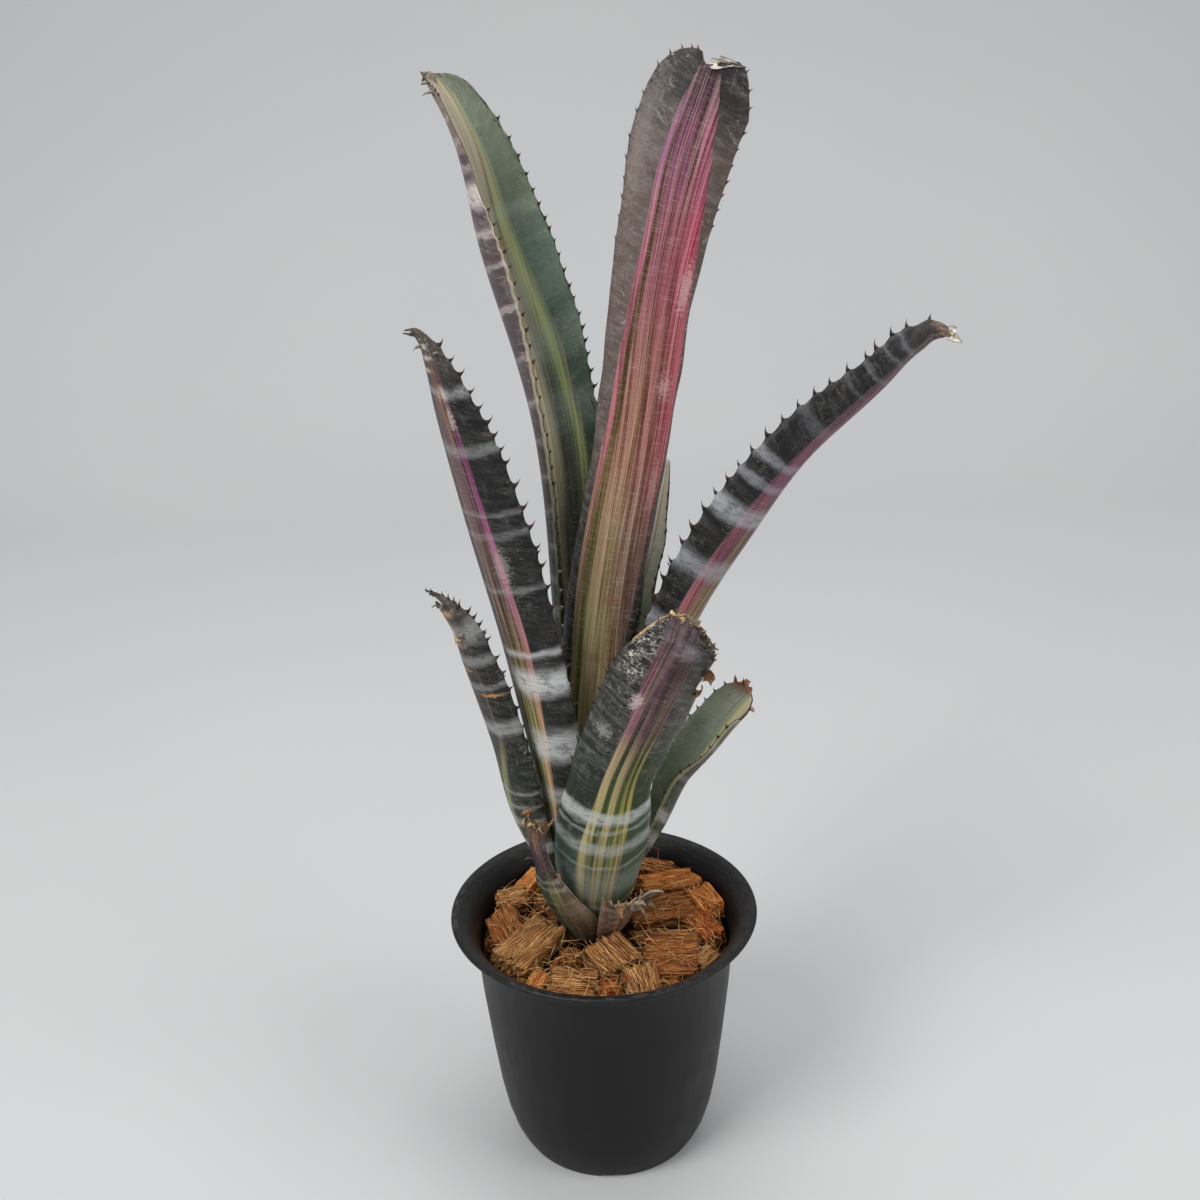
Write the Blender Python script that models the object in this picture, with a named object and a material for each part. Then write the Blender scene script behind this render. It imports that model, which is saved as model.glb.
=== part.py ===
"""A potted aechmea: a rosette of ten strap leaves on a short stem, set in coconut husk in a
black plastic nursery pot. Metres, +Z up. The origin is the middle of the pot's underside,
+X is the side that the arching leaf leans to, and -Y is the front."""

import math
import random

import bmesh
import bpy
from mathutils import Euler, Matrix, Vector

MM = 0.001
CLEARANCE = 0.3 * MM  # between two pieces that touch

# Driving dimensions of the pot
RIM_RADIUS = 75 * MM
POT_HEIGHT = 129 * MM
POT_WALL = 1.8 * MM
POT_SIDES = 48
# Height and outer radius of the body, from the foot up to where the lip starts to flare.
BODY_OUTLINE = [
    (0, 45),
    (4, 47.3),
    (10, 49.9),
    (20, 52.7),
    (35, 55.4),
    (60, 58.4),
    (90, 61.5),
    (116, 63.4),
]
# Height and radius of the flared lip's upper side, from the inner wall out to the rim.
LIP_OUTLINE = [(114, 61.6), (120, 63.2), (124.5, 66), (127.6, 70)]
FOOT_RING_INNER_RADIUS = 40 * MM
CENTRE_PAD_RADIUS = 14 * MM
CHANNEL_HEIGHT = 3 * MM  # of the drain channel between the centre pad and the foot ring
FLOOR_THICKNESS = 2.2 * MM
DRAIN_HOLES = 8
DRAIN_HOLE_RADIUS = 4 * MM
DRAIN_HOLE_CIRCLE = 27 * MM
FOOT_NOTCHES = 4
FOOT_NOTCH_WIDTH = 12 * MM
FOOT_NOTCH_HEIGHT = 2 * MM

# Driving dimensions of the stem and of what lies in the pot
STEM_X = -5 * MM
STEM_Y = 8 * MM
STEM_SIDES = 20
# Height and radius of the rooted stem: the root ball, its neck and the cone that bears the leaves.
STEM_OUTLINE = [
    (54, 6),
    (58, 16),
    (72, 21),
    (86, 17),
    (94, 11),
    (106, 9.4),
    (118, 7),
    (128, 4),
    (136, 1.6),
]
BED_TOP_AT_WALL = 109 * MM
BED_TOP_AT_STEM = 106.5 * MM
BED_DIP_RADIUS = 22 * MM  # of the flat round the stem, below which the husk rises to the wall
BED_SLOPE = 0.10  # how far the husk's top climbs towards the back, per metre

# Driving dimensions of the leaves
BLADE_THICKNESS = 1.2 * MM
ACROSS = 6  # faces from margin to margin
FACE_LENGTH = 17 * MM  # of a face along the leaf, on average
TIP_CROWDING = 1.35  # above 1, the faces get shorter towards the tip

# Each leaf is a list of cross-sections from the foot to the tip. One section holds the place of the
# blade's middle (x, y, z), half the blade's width measured round the curve, half the angle that the
# blade curls through, and the compass direction that the back of the leaf faces (0 is +X, 90 is +Y).
# All in millimetres and degrees.
LEAVES = {
    "leaf_centre_tall": [
        (-5, 3, 128, 6, 65, -90),
        (-5, -1, 148, 12, 70, -90),
        (-5, -4, 172, 17, 65, -90),
        (-4, -6, 203, 21, 60, -92),
        (3, -8, 286, 19.5, 55, -95),
        (18, -10, 371, 18.5, 52, -97),
        (30, -12, 447, 20.5, 50, -98),
        (42, -13, 496, 24, 50, -98),
        (48, -13, 512, 23, 48, -98),
        (52, -12, 523, 16, 46, -98),
        (53, -12, 527, 9, 45, -98),
    ],
    "leaf_rear_left": [
        (-7.8, 12.2, 128, 4.6, 50, 125),
        (-11, 18, 150, 10.5, 56, 126),
        (-14, 20, 172, 14.5, 60, 132),
        (-14, 23, 209, 19, 68, 140),
        (-15.5, 31.5, 279, 24, 72, 145),
        (-20.5, 39.5, 365, 28, 77, 145),
        (-41.5, 53, 446, 30.5, 104, 142),
        (-51, 54, 492, 18, 85, 138),
        (-58.5, 57, 508, 12.5, 76, 137),
        (-63, 58, 515.5, 5.5, 56, 135),
        (-66, 58, 518.5, 2, 44, 135),
    ],
    "leaf_mid_left": [
        (-10.5, 4.8, 123, 7, 58, -150),
        (-17, 1, 143, 16, 60, -150),
        (-22, -3, 168, 19.5, 55, -145),
        (-24.5, -10.2, 201, 21.5, 55, -140),
        (-36.2, -16.2, 276, 24.8, 55, -140),
        (-49.5, -20, 340, 25, 55, -140),
        (-60, -24, 390, 19.5, 50, -145),
        (-64, -26, 418, 7, 42, -145),
        (-68, -26, 425, 1.5, 30, -145),
    ],
    "leaf_right_arching": [
        (0.5, 4.8, 123, 5, 44, -30),
        (8, 0, 146, 11, 42, -32),
        (13, -5, 172, 16, 40, -35),
        (26, 0, 231, 19.5, 50, -35),
        (43, 0, 281, 22, 55, -42),
        (66, -2, 323, 21.5, 60, -47),
        (93, -4, 362, 17, 60, -50),
        (125, -6, 393, 10, 55, -55),
        (148, -8, 411, 4, 45, -60),
        (156, -8, 405, 1.5, 30, -60),
    ],
    "leaf_front_short": [
        (-5, -0.9, 113, 10.5, 64, -92),
        (-4, -11, 132, 18.5, 59, -90),
        (0, -24, 172, 25, 52, -87),
        (8, -36, 222, 22, 50, -85),
        (21, -44, 256, 23.5, 46, -83),
        (33, -49, 284, 22.5, 41, -80),
        (38, -50.5, 296, 19, 38, -80),
        (40.5, -51, 303.5, 12, 32, -80),
    ],
    "leaf_right_low": [
        (2.9, 8.7, 118, 8, 55, 5),
        (13, 10, 137, 13, 60, 5),
        (31, 20, 163, 16, 70, 8),
        (44, 28, 186, 20, 70, 10),
        (60, 31, 206, 19, 66, 14),
        (70, 33, 218, 16.5, 60, 16),
        (75, 33.5, 224, 12, 52, 18),
        (76.5, 33.5, 226, 7.5, 46, 18),
    ],
    "leaf_left_low": [
        (-12.3, 5, 118, 8, 55, -158),
        (-23, 3.4, 140, 13.5, 50, -162),
        (-38, -3, 177, 17.5, 60, -151),
        (-47, -9.5, 226, 17, 60, -144),
        (-56, -13.5, 266, 14.5, 58, -138),
        (-63, -15, 291, 9.5, 52, -136),
        (-69, -15, 301, 5.5, 44, -136),
        (-74, -15, 305.5, 2, 40, -136),
    ],
    "leaf_rear_thin": [
        (-2.3, 13.8, 123, 5, 42, 65),
        (2.5, 22, 146, 10.5, 46, 62),
        (11, 35, 204, 13.5, 50, 52),
        (22, 43, 275, 13, 50, 50),
        (31, 46, 314, 9.5, 45, 45),
        (36, 48, 341, 3, 35, 45),
    ],
    "leaf_stub_old": [
        (-10.3, -0.5, 107.5, 6.5, 36, -122),
        (-16, -10, 124, 15, 50, -122),
        (-23, -20, 146, 11, 45, -120),
        (-28, -25, 168, 5, 40, -118),
        (-31, -29, 188, 5, 40, -115),
        (-30, -32, 200, 7, 35, -115),
    ],
    "leaf_sheath_dry": [
        (1.8, 0.7, 107.5, 5, 29, -47),
        (6, -10, 122, 9, 36, -56),
        (10, -19, 137, 9.5, 34, -60),
        (15, -24, 147, 8, 30, -60),
    ],
}

# Each husk chip: centre (x, y, z), length along the fibres, width and thickness in millimetres, then
# yaw, pitch and roll in degrees.
CHIPS = {
    "husk_chip_01": ((3, -24.5, 115.5), (20, 22, 9), (-50, 14, 2)),
    "husk_chip_02": ((-37, -13, 114.5), (36, 19, 10), (52, -4, 9)),
    "husk_chip_03": ((-48, 4, 115), (25, 16, 8), (-70, 4, 34)),
    "husk_chip_04": ((30, 11, 116.5), (33, 15, 10), (4, -6, 20)),
    "husk_chip_05": ((32, 29, 119.5), (27, 13, 11), (5, -5, 10)),
    "husk_chip_06": ((50.5, 13, 119), (17, 12, 13), (-62, 8, 8)),
    "husk_chip_07": ((49, -1, 115), (21, 12, 9), (-58, 8, 15)),
    "husk_chip_08": ((32, -22, 112), (28, 26, 10), (-6, -2, 13)),
    "husk_chip_09": ((-15, -38, 110), (24, 15, 9), (-10, 2, 25)),
    "husk_chip_10": ((17, -38, 110), (17, 17, 9), (-72, 26, 4)),
    "husk_chip_11": ((-46, 24, 117), (15, 12, 9), (16, -8, 12)),
    "husk_chip_12": ((-37, 38, 117), (20, 11, 10), (58, -8, -8)),
    "husk_chip_13": ((47.5, -24, 111.5), (14, 9, 9), (50, 0, 20)),
    "husk_chip_14": ((28, -3, 111), (27, 5, 7), (-2, -3, 12)),
    "husk_chip_15": ((1, -39, 108.5), (10, 11, 8), (10, 6, 8)),
    "husk_chip_16": ((-33.5, -38, 109.5), (16, 9, 8), (62, -8, 0)),
    "husk_chip_17": ((-17, -20, 111), (13, 9, 8), (100, 6, 0)),
    "husk_chip_18": ((-25, 27, 115), (16, 9, 9), (80, 0, -12)),
    "husk_chip_19": ((-22, 49, 118.5), (18, 11, 9), (30, 6, 8)),
    "husk_chip_20": ((0, 50, 118), (24, 12, 9), (4, 4, 8)),
    "husk_chip_21": ((8, 34, 115), (14, 12, 9), (-60, 6, 8)),
    "husk_chip_22": ((26, 46, 118), (20, 12, 10), (-24, 0, 6)),
    "husk_chip_23": ((43, 35, 117), (12, 9, 10), (-44, 0, -12)),
}
CHIP_SKEW = 0.10  # how far a corner strays, as a share of the chip's size
CHIP_BEVEL = 1.1 * MM


# ---------------------------------------------------------------- helpers


def clear_scene():
    for obj in list(bpy.data.objects):
        bpy.data.objects.remove(obj)


def material(name, colour, roughness, metallic=0.0):
    made = bpy.data.materials.new(name)
    made.use_nodes = True
    shader = made.node_tree.nodes["Principled BSDF"]
    shader.inputs["Base Color"].default_value = (*colour, 1.0)
    shader.inputs["Roughness"].default_value = roughness
    shader.inputs["Metallic"].default_value = metallic
    return made


def add_object(name, shape, finish=None):
    """Turns a bmesh into a named object of the scene."""
    mesh = bpy.data.meshes.new(name)
    shape.to_mesh(mesh)
    shape.free()
    obj = bpy.data.objects.new(name, mesh)
    bpy.context.scene.collection.objects.link(obj)
    if finish:
        mesh.materials.append(finish)
    return obj


def turned(outline, sides, smallest=1e-6):
    """A closed solid of revolution about Z. The outline runs round a closed section as (height,
    radius) pairs in metres, and may touch the axis."""
    shape = bmesh.new()
    ring = [shape.verts.new((radius, 0, height)) for height, radius in outline]
    edges = [shape.edges.new(pair) for pair in zip(ring, ring[1:])]
    if outline[0][1] > smallest or outline[-1][1] > smallest:
        edges.append(shape.edges.new((ring[-1], ring[0])))
    bmesh.ops.spin(
        shape,
        geom=ring + edges,
        cent=(0, 0, 0),
        axis=(0, 0, 1),
        angle=math.tau,
        steps=sides,
        use_merge=True,
    )
    bmesh.ops.remove_doubles(shape, verts=shape.verts, dist=1e-6)
    bmesh.ops.recalc_face_normals(shape, faces=shape.faces)
    return shape


def shade_round(obj, crease_degrees=35):
    obj.data.shade_smooth()
    obj.data.set_sharp_from_angle(angle=math.radians(crease_degrees))


def cut(obj, cutter):
    """Cuts one object out of another, and keeps the cutter as a hidden guide."""
    cutter.hide_render = True
    cutter.display_type = "WIRE"
    modifier = obj.modifiers.new("cut " + cutter.name, "BOOLEAN")
    modifier.operation = "DIFFERENCE"
    modifier.solver = "EXACT"
    modifier.object = cutter


# ---------------------------------------------------------------- pot


def inner_wall_radius(height):
    """Radius of the pot's inner wall at a height, both in metres."""
    points = [(h * MM, r * MM) for h, r in BODY_OUTLINE]
    for (low, r_low), (high, r_high) in zip(points, points[1:]):
        if height <= high:
            share = (height - low) / (high - low)
            return r_low + share * (r_high - r_low) - POT_WALL
    return points[-1][1] - POT_WALL


def pot_outline():
    """The pot's section: down the outside from the rim, under the floor, and up the inside."""
    rim = [
        (POT_HEIGHT - 2.6 * MM, RIM_RADIUS - 1.6 * MM),
        (POT_HEIGHT - 1.4 * MM, RIM_RADIUS),
        (POT_HEIGHT - 0.4 * MM, RIM_RADIUS - 0.6 * MM),
        (POT_HEIGHT, RIM_RADIUS - 2.2 * MM),
    ]
    lip_top = [(h * MM, r * MM) for h, r in reversed(LIP_OUTLINE)]
    lip_under = [(h * MM - POT_WALL, (r + 0.6) * MM) for h, r in LIP_OUTLINE[2:]]
    outside = [(h * MM, r * MM) for h, r in BODY_OUTLINE]
    inside = [(h, inner_wall_radius(h)) for h in (90 * MM, 60 * MM, 35 * MM, 20 * MM, 10 * MM)]
    channel_top = CHANNEL_HEIGHT
    floor_top = CHANNEL_HEIGHT + FLOOR_THICKNESS
    floor = [(floor_top, inner_wall_radius(floor_top)), (floor_top, 0)]
    under = [
        (0, 0),
        (0, CENTRE_PAD_RADIUS),
        (channel_top, CENTRE_PAD_RADIUS + 2 * MM),
        (channel_top, FOOT_RING_INNER_RADIUS),
        (0, FOOT_RING_INNER_RADIUS + 1 * MM),
    ]
    return under + outside + lip_under + rim + lip_top + inside + floor


def drain_cutter():
    """A round bar that stands through the pot's floor."""
    cutter = bmesh.new()
    bmesh.ops.create_cone(
        cutter,
        cap_ends=True,
        segments=10,
        radius1=DRAIN_HOLE_RADIUS,
        radius2=DRAIN_HOLE_RADIUS,
        depth=4 * (CHANNEL_HEIGHT + FLOOR_THICKNESS),
    )
    bmesh.ops.translate(cutter, vec=(DRAIN_HOLE_CIRCLE, 0, CHANNEL_HEIGHT), verts=cutter.verts)
    return cutter


def notch_cutter():
    """A block that lies across the foot ring, sunk to the notch's height."""
    ring_middle = (FOOT_RING_INNER_RADIUS + BODY_OUTLINE[1][1] * MM) / 2
    size = (12 * MM, FOOT_NOTCH_WIDTH, 2 * FOOT_NOTCH_HEIGHT)
    cutter = bmesh.new()
    bmesh.ops.create_cube(cutter, size=1)
    bmesh.ops.scale(cutter, vec=size, verts=cutter.verts)
    bmesh.ops.translate(cutter, vec=(ring_middle, 0, 0), verts=cutter.verts)
    return cutter


def build_pot():
    finish = material("black_plastic", (0.017, 0.017, 0.018), 0.55)
    pot = add_object("pot", turned(pot_outline(), POT_SIDES), finish)
    shade_round(pot)
    for number in range(DRAIN_HOLES):
        hole = add_object(f"drain_cutter_{number}", drain_cutter())
        hole.rotation_euler.z = math.tau * (number + 0.5) / DRAIN_HOLES
        cut(pot, hole)
    for number in range(FOOT_NOTCHES):
        notch = add_object(f"notch_cutter_{number}", notch_cutter())
        notch.rotation_euler.z = math.tau * number / FOOT_NOTCHES - math.pi / 2
        cut(pot, notch)


# ---------------------------------------------------------------- stem and husk


def stem_shape(grow=0.0):
    """The rooted stem, or the same shape grown by a clearance for the hollow it sits in."""
    widest = max(STEM_OUTLINE, key=lambda point: point[1])[0]
    outline = []
    for height, radius in STEM_OUTLINE:
        drop = grow if height < widest else 0
        outline.append((height * MM - drop, radius * MM + grow))
    first = (outline[0][0], 0)
    last = (outline[-1][0] + grow, 0)
    shape = turned([first] + outline + [last], STEM_SIDES)
    bmesh.ops.translate(shape, vec=(STEM_X, STEM_Y, 0), verts=shape.verts)
    return shape


def build_stem():
    finish = material("stem_green_brown", (0.14, 0.12, 0.06), 0.8)
    stem = add_object("rosette_stem", stem_shape(), finish)
    shade_round(stem)


def chip_shape(place, size, angles, seed, grow=0.0):
    """A husk chip: a slab with strayed corners and worn edges, grown by a clearance for its pocket."""
    stray = random.Random(seed)
    shape = bmesh.new()
    bmesh.ops.create_cube(shape, size=1)
    for vert in shape.verts:
        for axis in range(3):
            corner = vert.co[axis] * (1 + stray.uniform(-CHIP_SKEW, CHIP_SKEW))
            vert.co[axis] = corner * (size[axis] * MM) + math.copysign(grow, corner)
    bmesh.ops.bevel(
        shape,
        geom=shape.edges[:],
        offset=CHIP_BEVEL,
        offset_type="OFFSET",
        segments=1,
        profile=0.5,
        affect="EDGES",
        material=-1,
    )
    yaw, pitch, roll = (math.radians(a) for a in angles)
    turn = Euler((roll, pitch, yaw), "XYZ").to_matrix().to_4x4()
    move = Matrix.Translation(Vector(place) * MM)
    bmesh.ops.transform(shape, matrix=move @ turn, verts=shape.verts)
    bmesh.ops.triangulate(shape, faces=shape.faces)
    return shape


def pocket_cutter(seed, name, piece):
    """Cuts a chip's pocket from a piece that it presses into."""
    place, size, angles = CHIPS[name]
    pocket = chip_shape(place, size, angles, seed, grow=CLEARANCE)
    cut(piece, add_object(f"{name}_pocket_in_{piece.name}", pocket))


def reach(size):
    """How far a chip can reach from its middle."""
    return 0.5 * (1 + CHIP_SKEW) * Vector(size).length


def build_chips():
    """The chips, upper ones first: each lower one is hollowed by those that lie on it."""
    finish = material("husk_brown", (0.30, 0.14, 0.05), 0.9)
    names = list(CHIPS)
    for seed, name in enumerate(names):
        place, size, angles = CHIPS[name]
        chip = add_object(name, chip_shape(place, size, angles, seed), finish)
        for above_seed, above in enumerate(names[:seed]):
            apart = (Vector(CHIPS[above][0]) - Vector(place)).length
            if apart < reach(size) + reach(CHIPS[above][1]):
                pocket_cutter(above_seed, above, chip)


def build_bed():
    """The husk below the chips that show, as one fill that meets the pot, the stem and the chips."""
    finish = material("husk_fill_brown", (0.16, 0.08, 0.035), 0.95)
    floor_top = CHANNEL_HEIGHT + FLOOR_THICKNESS + CLEARANCE
    heights = [floor_top] + [h * MM for h in (10, 20, 35, 60, 90)]
    wall = [(h, inner_wall_radius(h) - CLEARANCE) for h in heights]
    lowest_top = BED_TOP_AT_WALL - BED_SLOPE * RIM_RADIUS
    top = [
        (BED_TOP_AT_WALL, inner_wall_radius(lowest_top) - CLEARANCE),
        (BED_TOP_AT_STEM, BED_DIP_RADIUS),
        (BED_TOP_AT_STEM, 0),
    ]
    outline = [(floor_top, 0)] + wall + top
    shape = turned(outline, POT_SIDES)
    for vert in shape.verts:
        if vert.co.z > lowest_top:
            vert.co.z += vert.co.y * BED_SLOPE
    bed = add_object("husk_bed", shape, finish)
    cut(bed, add_object("stem_hollow_cutter", stem_shape(grow=CLEARANCE)))
    for seed, name in enumerate(CHIPS):
        pocket_cutter(seed, name, bed)


# ---------------------------------------------------------------- leaves


def smooth_sections(sections):
    """Closely spaced sections on a smooth curve through the given ones."""
    rows = [Vector(section) for section in sections]
    spans = [(b.xyz - a.xyz).length for a, b in zip(rows, rows[1:])]
    at = [sum(spans[:i]) for i in range(len(rows) + 1)]
    steps = max(6, round(at[-1] * MM / FACE_LENGTH))
    slopes = [(b - a) / span for a, b, span in zip(rows, rows[1:], spans)]
    tangents = [slopes[0]]
    for before, after, left, right in zip(slopes, slopes[1:], spans, spans[1:]):
        tangents.append((before * right + after * left) / (left + right))
    tangents.append(slopes[-1])
    found = []
    for step in range(steps + 1):
        along = at[-1] * (1 - (1 - step / steps) ** TIP_CROWDING)
        i = max(k for k in range(len(spans)) if at[k] <= along)
        t = (along - at[i]) / spans[i]
        a, b = rows[i], rows[i + 1]
        pull_a, pull_b = tangents[i] * spans[i], tangents[i + 1] * spans[i]
        found.append(
            a * (2 * t**3 - 3 * t**2 + 1)
            + b * (3 * t**2 - 2 * t**3)
            + pull_a * (t**3 - 2 * t**2 + t)
            + pull_b * (t**3 - t**2)
        )
    return found


def leaf_shape(sections):
    """The blade as an open sheet: a flat grid bent along the leaf's curve and curled across it."""
    rows = smooth_sections(sections)
    steps = len(rows) - 1
    shape = bmesh.new()
    bmesh.ops.create_grid(shape, x_segments=ACROSS, y_segments=steps, size=0.5)
    for vert in shape.verts:
        across = 2 * vert.co.x
        step = round((vert.co.y + 0.5) * steps)
        row = rows[step]
        ahead = rows[min(step + 1, steps)] - rows[max(step - 1, 0)]
        tangent = Vector(ahead[:3]).normalized()
        facing = math.radians(row[5])
        back = Vector((math.cos(facing), math.sin(facing), 0))
        back = (back - tangent * back.dot(tangent)).normalized()
        side = tangent.cross(back)
        curl = math.radians(row[4])
        radius = row[3] / curl
        vert.co = (
            Vector(row[:3])
            + side * radius * math.sin(across * curl)
            - back * radius * (1 - math.cos(across * curl))
        ) * MM
    bmesh.ops.recalc_face_normals(shape, faces=shape.faces)
    return shape


def build_leaves():
    green = material("leaf_dark_green", (0.035, 0.045, 0.035), 0.45)
    dry = material("leaf_dry_brown", (0.22, 0.15, 0.10), 0.8)
    for name, sections in LEAVES.items():
        finish = dry if name in ("leaf_stub_old", "leaf_sheath_dry") else green
        leaf = add_object(name, leaf_shape(sections), finish)
        blade = leaf.modifiers.new("blade thickness", "SOLIDIFY")
        blade.thickness = BLADE_THICKNESS
        blade.offset = 0
        shade_round(leaf, 60)


clear_scene()
build_pot()
build_stem()
build_bed()
build_chips()
build_leaves()
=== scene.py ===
"""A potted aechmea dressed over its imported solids: pot, husk, stem and ten strap leaves."""

import math
import random

import bmesh
import bpy
from mathutils import Euler, Matrix, Vector, noise


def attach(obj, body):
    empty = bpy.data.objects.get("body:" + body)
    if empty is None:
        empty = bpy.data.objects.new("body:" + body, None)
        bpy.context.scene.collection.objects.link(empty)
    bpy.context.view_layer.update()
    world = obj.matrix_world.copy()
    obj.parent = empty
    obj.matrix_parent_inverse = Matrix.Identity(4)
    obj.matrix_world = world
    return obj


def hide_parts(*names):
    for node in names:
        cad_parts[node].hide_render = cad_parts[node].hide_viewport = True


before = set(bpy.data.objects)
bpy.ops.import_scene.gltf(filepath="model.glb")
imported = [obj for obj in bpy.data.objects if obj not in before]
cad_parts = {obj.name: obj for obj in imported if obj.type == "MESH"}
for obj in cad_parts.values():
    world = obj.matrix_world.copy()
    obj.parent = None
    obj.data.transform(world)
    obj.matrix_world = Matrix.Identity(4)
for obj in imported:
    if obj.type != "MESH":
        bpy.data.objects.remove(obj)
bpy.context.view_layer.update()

# ------------ the pot
# A nursery pot moulded in one piece of black polypropylene, with a wide flared lip, eight drain
# holes and a notched foot ring. Everything else stands in it. Its skin is matt, with the faint
# upright ripples of the mould, and pale rub marks and a painted highlight along the rim.

MM = 0.001
POT_SIDES = 144
# Heights and radii in millimetres: up the outside, over the lip, down the inside, then the floor.
FOOT_TO_LIP = [
    (0, 45), (4, 47.3), (10, 49.9), (20, 52.7), (35, 55.4), (60, 58.4), (90, 61.5), (116, 63.4),
    (122.4, 66.3), (125.2, 69.6), (126.2, 72.4), (126.6, 73.8), (127.0, 74.7), (127.7, 75),
    (128.4, 74.8), (128.85, 74.2), (129, 73.2), (128.8, 72), (127.7, 70), (126.2, 67.8),
    (124.5, 66), (120, 63.2), (114, 61.6), (90, 59.7), (60, 56.6), (35, 53.6), (20, 50.9),
    (10, 48.1), (5.2, 46.2),
]
UNDER_FLOOR = [(5.2, 0), (0, 0), (0, 14), (3, 16), (3, 40), (0, 41)]
RIM_RUB_AND_HIGHLIGHT_FROM, RIM_RUB_AND_HIGHLIGHT_TO = 121, 129  # mm, the heights between which the rub marks and the painted highlight on the rim grow
DRAIN_HOLES = 8
DRAIN_HOLE_RADIUS = 4
DRAIN_CIRCLE_RADIUS = 27
FOOT_NOTCHES = 4
NOTCH_SIZE = (12, 12, 4)
NOTCH_CIRCLE_RADIUS = 43.5


class Finish:
    """The node material of one surface, put together from coordinates and patterns."""

    def __init__(self, name, roughness, gloss=0.5):
        self.material = bpy.data.materials.new(name)
        self.material.use_nodes = True
        self.nodes = self.material.node_tree.nodes
        self.links = self.material.node_tree.links
        self.shader = self.nodes["Principled BSDF"]
        self.roughen(roughness)
        self.shader.inputs["Specular IOR Level"].default_value = gloss

    def add(self, kind, *inputs, output=0, **settings):
        node = self.nodes.new("ShaderNode" + kind)
        for key, value in settings.items():
            setattr(node, key, value)
        for socket, value in zip(node.inputs, inputs):
            self.fill(socket, value)
        return node.outputs[output]

    def fill(self, socket, value):
        if isinstance(value, bpy.types.NodeSocket):
            self.links.new(value, socket)
        elif value is not None:
            socket.default_value = value

    def place(self):
        """Object coordinates in millimetres."""
        at = self.add("TexCoord", output=3)
        return self.add("VectorMath", at, (1000, 1000, 1000), operation="MULTIPLY")

    def stretched(self, vector, x, y, z=1.0):
        """The coordinates with one unit of pattern for this many millimetres."""
        return self.add("VectorMath", vector, (1 / x, 1 / y, 1 / z), operation="MULTIPLY")

    def cloud(self, vector, detail=2.0, rough=0.5, size=1.0, twist=0.0):
        node = self.nodes.new("ShaderNodeTexNoise")
        self.links.new(vector, node.inputs["Vector"])
        for socket, value in (
            ("Scale", 1 / size), ("Detail", detail), ("Roughness", rough), ("Distortion", twist)
        ):
            node.inputs[socket].default_value = value
        return node.outputs[0]

    def maths(self, operation, a, b=None, c=None):
        return self.add("Math", a, b, c, operation=operation)

    def times(self, a, b):
        return self.maths("MULTIPLY", a, b)

    def centred(self, pattern):
        return self.maths("SUBTRACT", pattern, 0.5)

    def step(self, value, low, high, to_low=0.0, to_high=1.0):
        """A smooth rise of the value between two levels."""
        return self.add(
            "MapRange", value, low, high, to_low, to_high, interpolation_type="SMOOTHSTEP"
        )

    def ramp(self, value, stops, smooth="LINEAR"):
        """Colours or levels from (place, colour) pairs, or from a line such as "0 1d201a, .5 33302c"."""
        if isinstance(stops, str):
            stops = [(float(stop.split()[0]), stop.split()[1]) for stop in stops.split(",")]
        stops = sorted(stops, key=lambda stop: stop[0])
        node = self.nodes.new("ShaderNodeValToRGB")
        node.color_ramp.interpolation = smooth
        points = node.color_ramp.elements
        for extra in stops[2:]:
            points.new(0.5)
        for point, (at, colour) in zip(points, stops):
            point.position = at
        for point, (at, colour) in zip(points, stops):
            point.color = tone(colour) if isinstance(colour, str) else (colour,) * 3 + (1,)
        self.links.new(value, node.inputs[0])
        return node.outputs[0]

    def mix(self, share, a, b, how="MIX"):
        a = tone(a) if isinstance(a, str) else a
        b = tone(b) if isinstance(b, str) else b
        return self.add("MixRGB", share, a, b, blend_type=how)

    def paint(self, colour):
        self.fill(self.shader.inputs["Base Color"], colour)

    def roughen(self, level):
        self.fill(self.shader.inputs["Roughness"], level)

    def relief(self, height, depth_mm, strength=1.0, after=None):
        """Bump from a height of 0 to 1, over any relief that comes before it."""
        node = self.nodes.new("ShaderNodeBump")
        node.inputs["Strength"].default_value = strength
        node.inputs["Distance"].default_value = depth_mm * MM
        self.links.new(height, node.inputs["Height"])
        self.fill(node.inputs["Normal"], after)
        self.links.new(node.outputs[0], self.shader.inputs["Normal"])
        return node.outputs[0]


def tone(code):
    """A paint colour from its six-figure mixing code."""
    parts = [int(code[i : i + 2], 16) / 255 for i in (0, 2, 4)]
    return tuple(p / 12.92 if p < 0.04045 else ((p + 0.055) / 1.055) ** 2.4 for p in parts) + (1,)


def lathe(outline, sides):
    """A closed body turned round the upright axis from (height, radius) points in millimetres."""
    shape = bmesh.new()
    verts = [shape.verts.new((radius * MM, 0, height * MM)) for height, radius in outline]
    edges = [shape.edges.new(pair) for pair in zip(verts, verts[1:] + verts[:1])]
    bmesh.ops.spin(
        shape, geom=verts + edges, cent=(0, 0, 0), axis=(0, 0, 1), dvec=(0, 0, 0),
        angle=math.tau, steps=sides, use_merge=True,
    )
    bmesh.ops.remove_doubles(shape, verts=shape.verts, dist=1e-6)
    bmesh.ops.recalc_face_normals(shape, faces=shape.faces)
    return shape


def add_piece(name, shape, finishes):
    mesh = bpy.data.meshes.new(name)
    shape.to_mesh(mesh)
    shape.free()
    for finish in finishes:
        mesh.materials.append(finish.material)
    piece = bpy.data.objects.new(name, mesh)
    bpy.context.scene.collection.objects.link(piece)
    return piece


def settle(piece):
    """Puts what the modifiers make into the piece's own mesh."""
    bpy.context.view_layer.update()
    ready = piece.evaluated_get(bpy.context.evaluated_depsgraph_get())
    mesh = bpy.data.meshes.new_from_object(ready)
    piece.modifiers.clear()
    piece.data = mesh


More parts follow.
